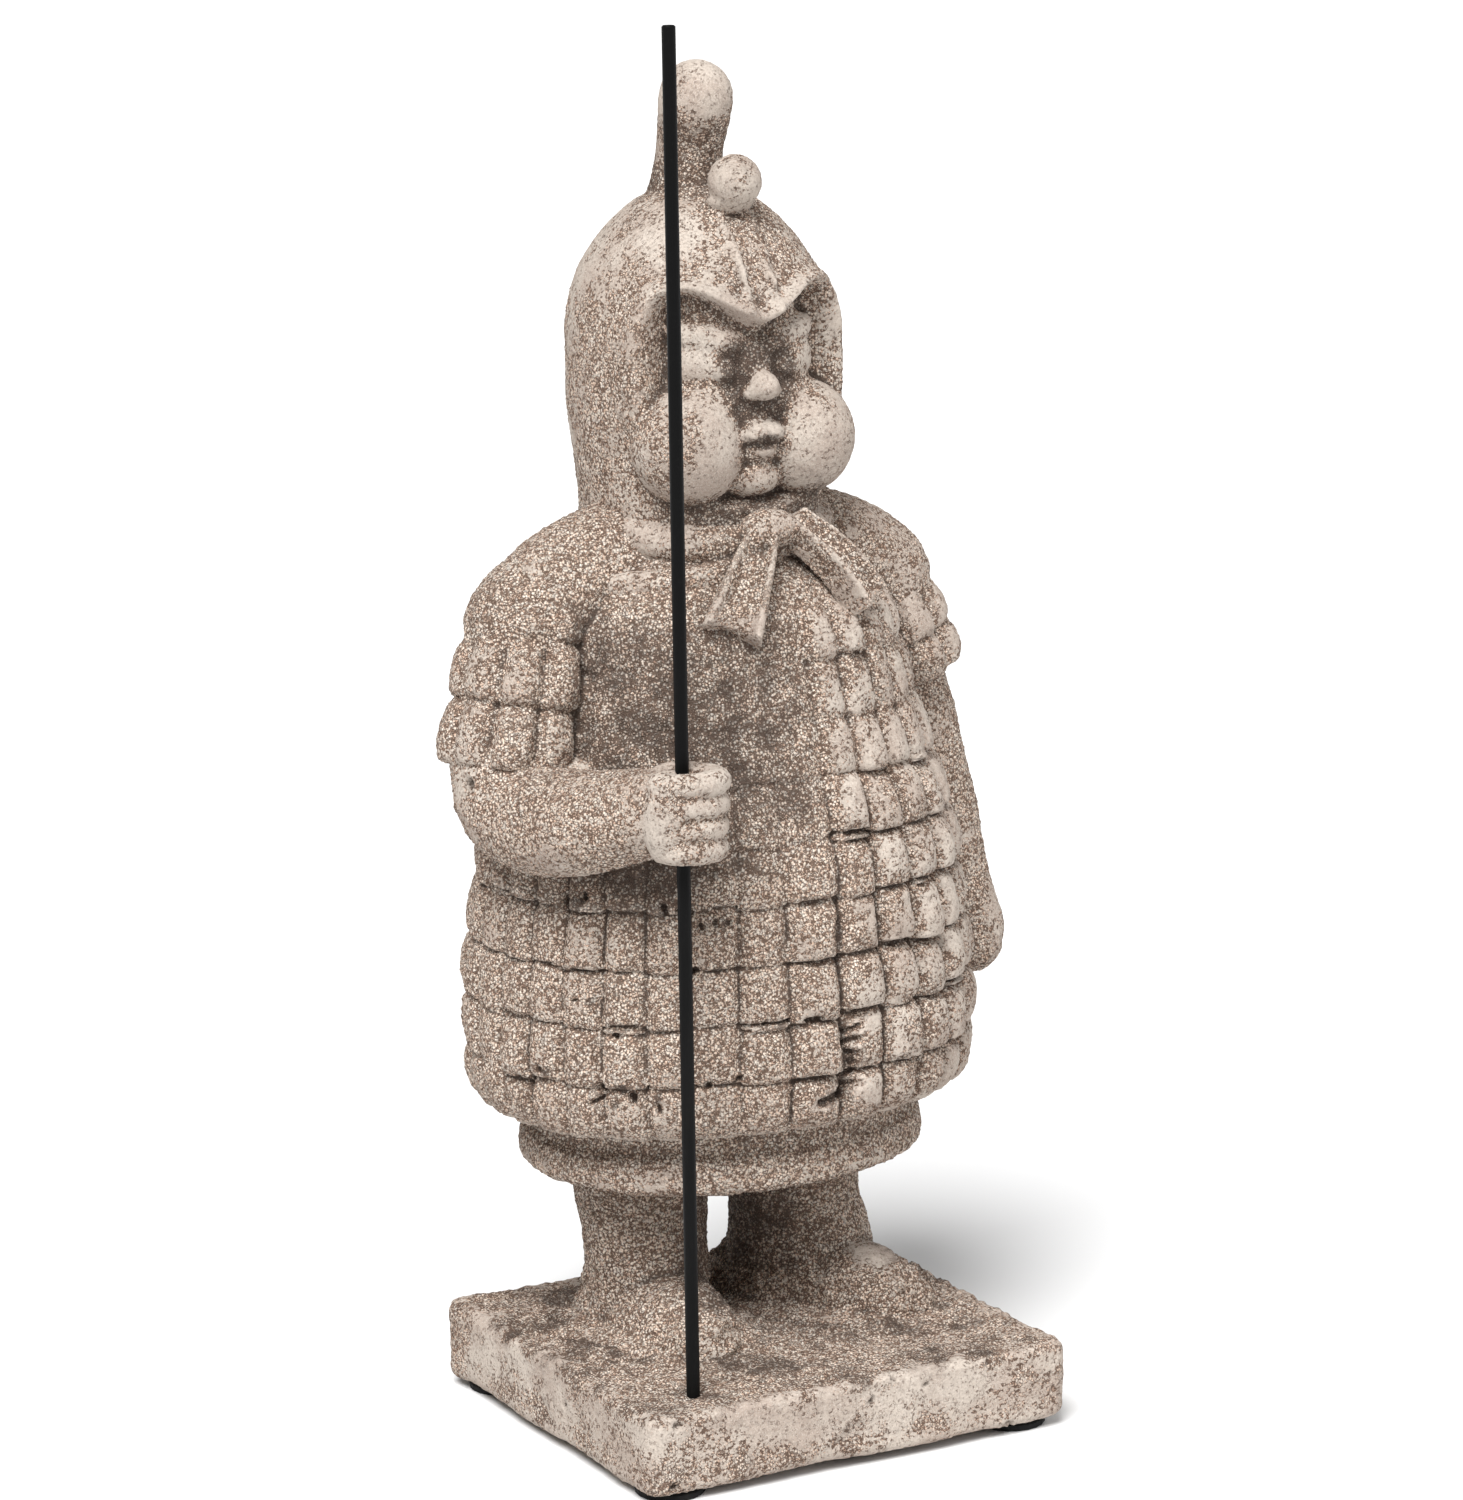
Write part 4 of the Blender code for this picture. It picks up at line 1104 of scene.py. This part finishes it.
# %% The cement material
def cement_material():
    made, shader, place = new_material("sand_cement")
    tree = place.tree
    relief, skin, stain = (
        place.node("ShaderNodeAttribute", {"attribute_name": stored}, out="Fac")
        for stored in ("relief", "skin", "stain")
    )

    chance = place.node("ShaderNodeSeparateColor", Color=grains(place, 1020, "Color"))
    small_chance = place.node("ShaderNodeSeparateColor", Color=grains(place, 1900, "Color"))
    round_grain = 1 - grains(place, 1020).between(0.16 + chance * 0.18, 0.58)
    small_grain = 1 - grains(place, 1900).between(0.20, 0.62)
    fine = cloud(place, 2600, 2, 0.6)
    tall = round_grain * (0.50 + chance * 0.50) * (chance - 0.20).between(0.0, 0.10)
    sand = tall.math("MAXIMUM", tall, small_grain * small_chance * 0.62)

    hollow = cloud(place, 420, 3, 0.65)
    # Painted shade in the recesses of the stored relief.
    recess_shade = (relief * -1.0 + (0.5 - hollow) * 0.5).between(0.05, 1.05)
    edge = (relief + (hollow - 0.5) * 0.5).between(0.25, 0.95)
    clumps = cloud(place, 230, 2, 0.6)
    # Darkness: the stored stain and shade, the painted shade of the recesses, and random patches of dirt.
    dirt_and_shade = (stain * 0.9 + recess_shade * 0.8 + (hollow - 0.5) * 1.0 + (clumps - 0.45) * 0.8).between(0.0, 1.25)

    tone = chance * 0.62 + small_chance * 0.38
    sand_colour = chance.node("ShaderNodeValToRGB", {"stops": SAND}, Fac=tone)
    # The pores between the grains get a dark colour as painted shade, for the occlusion that bump can't give.
    shaded_gaps = 1 - (sand - dirt_and_shade * 0.24).between(0.01, 0.26)
    sand_colour = (shaded_gaps * 0.90).paint((0.098, 0.066, 0.049, 1), sand_colour)

    patches = cloud(place, 45, 3, 0.6).between(0.38, 0.62)
    skin_colour = patches.paint((0.475, 0.412, 0.355, 1), (0.375, 0.305, 0.257, 1))
    specks = cloud(place, 1300, 4, 0.8)
    skin_colour = (specks.between(0.50, 0.66) * 0.60).paint((0.20, 0.15, 0.12, 1), skin_colour)
    skin_colour = (fine.between(0.48, 0.70) * 0.55).paint((0.70, 0.63, 0.56, 1), skin_colour)
    bare = 1 - (skin + (chance - 0.5) * 0.75 + (small_chance - 0.5) * 0.45).between(0.22, 0.80)
    colour = bare.paint(sand_colour, skin_colour)
    colour = (edge * 0.28).paint((0.70, 0.61, 0.53, 1), colour)
    # The darkness lays dark brown over the colour: painted shade with some dirt.
    colour = (dirt_and_shade * (dirt_and_shade * 0.32 + 0.50)).paint((0.062, 0.044, 0.035, 1), colour)
    tree.links.new(colour.socket, shader.inputs["Base Color"])
    shader.inputs["Roughness"].default_value = 0.92
    shader.inputs["Specular IOR Level"].default_value = 0.22

    height = sand * bare + (1 - bare) * (0.44 - specks.between(0.50, 0.70) * 0.10) + fine * 0.08
    bump = place.node("ShaderNodeBump", Strength=1.0, Distance=0.0012, Height=height)
    tree.links.new(bump.socket, shader.inputs["Normal"])
    return made


SAND = [
    (0.0, (0.05, 0.036, 0.03)), (0.20, (0.25, 0.155, 0.11)), (0.34, (0.58, 0.40, 0.30)),
    (0.52, (0.76, 0.60, 0.485)), (0.70, (0.86, 0.735, 0.625)), (1.0, (0.95, 0.885, 0.81)),
]
cement = cement_material()
for name, made in pieces.items():
    made.data.materials.append(cement)
    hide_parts("soldier_figure")
    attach(made, "root")
print(len(pieces), "cement pieces")

# %% [markdown]
# ## Rod and feet
#
# The rod and the four feet keep their CAD shapes, which are right. They only get finishes: satin black
# paint with faint streaks on the steel, and dull black rubber with dust on it.

# %% Black paint and black rubber
def streaked(name, colour, worn_colour, roughness, streaks):
    """Black with faint marks of wear, which can be drawn out along an axis, and dust."""
    made, shader, place = new_material(name)
    tree = place.tree
    along = place.node("ShaderNodeMapping", Vector=place, Scale=streaks)
    marks = cloud(along, 60, 4, 0.7).between(0.50, 0.75)
    dust = cloud(place, 900, 2).between(0.55, 0.75)
    marked = (marks * 0.5 + dust * 0.2).paint(worn_colour, colour)
    tree.links.new(marked.socket, shader.inputs["Base Color"])
    tree.links.new((roughness + marks * 0.15).socket, shader.inputs["Roughness"])
    shader.inputs["Specular IOR Level"].default_value = 0.09
    bump = place.node("ShaderNodeBump", Strength=0.2, Distance=0.0002, Height=cloud(place, 1400, 2))
    tree.links.new(bump.socket, shader.inputs["Normal"])
    return made


finishes = {
    "spear_rod": streaked(
        "black_paint", (0.003, 0.003, 0.0031, 1), (0.011, 0.0105, 0.010, 1), 0.45, (1, 1, 0.12)
    ),
    "rubber": streaked("black_rubber", (0.010, 0.010, 0.010, 1), (0.030, 0.028, 0.026, 1), 0.62, (1, 1, 1)),
}
for name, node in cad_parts.items():
    if name != "soldier_figure":
        for slot in node.material_slots:
            slot.material = finishes.get(name, finishes["rubber"])
print("finished", [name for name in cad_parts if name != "soldier_figure"])

# %% [markdown]
# ## Floor, light and camera
#
# The photograph is a studio shot on white. A pale floor runs far out behind, a soft light stands high at
# the left, a weaker one fills from the right, and the camera stands at the photographer's place, a little
# above the figure's middle.

# %% The floor
bm = bmesh.new()
bmesh.ops.create_grid(bm, x_segments=1, y_segments=1, size=14.0)
floor_mesh = bpy.data.meshes.new("floor")
bm.to_mesh(floor_mesh)
bm.free()
floor = bpy.data.objects.new("floor", floor_mesh)
bpy.context.scene.collection.objects.link(floor)
floor_paint = bpy.data.materials.new("pale_floor")
floor_paint.use_nodes = True
floor_shader = floor_paint.node_tree.nodes["Principled BSDF"]
floor_shader.inputs["Base Color"].default_value = (0.80, 0.80, 0.80, 1)
floor_shader.inputs["Roughness"].default_value = 0.9
floor_mesh.materials.append(floor_paint)
print("floor ready")


# %% The lights
def sun(name, azimuth, elevation, strength, soft):
    """A distant soft light from degrees of azimuth, seen from the front, and of elevation."""
    lamp = bpy.data.lights.new(name, "SUN")
    lamp.energy = strength
    lamp.angle = math.radians(soft)
    made = bpy.data.objects.new(name, lamp)
    turn, lift = math.radians(azimuth), math.radians(elevation)
    way = Vector((math.sin(turn) * math.cos(lift), -math.cos(turn) * math.cos(lift), math.sin(lift)))
    made.rotation_euler = way.to_track_quat("Z", "Y").to_euler()
    bpy.context.scene.collection.objects.link(made)


sun("key", -46, 54, 5.0, 34)
sun("fill", 42, 34, 1.0, 50)
world = bpy.data.worlds.new("studio")
bpy.context.scene.world = world
world.use_nodes = True
world.node_tree.nodes["Background"].inputs["Color"].default_value = (1.0, 1.0, 1.0, 1)
world.node_tree.nodes["Background"].inputs["Strength"].default_value = 0.26
bpy.context.scene.view_settings.view_transform = "Standard"
print("two soft lights")

# %% The camera
AZIMUTH, ELEVATION, ROLL = math.radians(-28.65), math.radians(12.23), math.radians(-0.924)
LOOK_AT = Vector((1.2, 5.9, 226.3)) * MM
DISTANCE = 1.8
level_back = Vector((math.sin(AZIMUTH), -math.cos(AZIMUTH), 0))
back = level_back * math.cos(ELEVATION) + Vector((0, 0, math.sin(ELEVATION)))
level_right = Vector((math.cos(AZIMUTH), math.sin(AZIMUTH), 0))
right = level_right * math.cos(ROLL) + back.cross(level_right) * math.sin(ROLL)
lens = bpy.data.cameras.new("photo_camera")
lens.sensor_width = 36
lens.lens = 128.06
camera = bpy.data.objects.new("photo_camera", lens)
facing = Matrix((right, back.cross(right), back)).transposed().to_4x4()
camera.matrix_world = Matrix.Translation(LOOK_AT + back * DISTANCE) @ facing
bpy.context.scene.collection.objects.link(camera)
bpy.context.scene.camera = camera
print("camera at", [round(v, 3) for v in camera.matrix_world.translation])
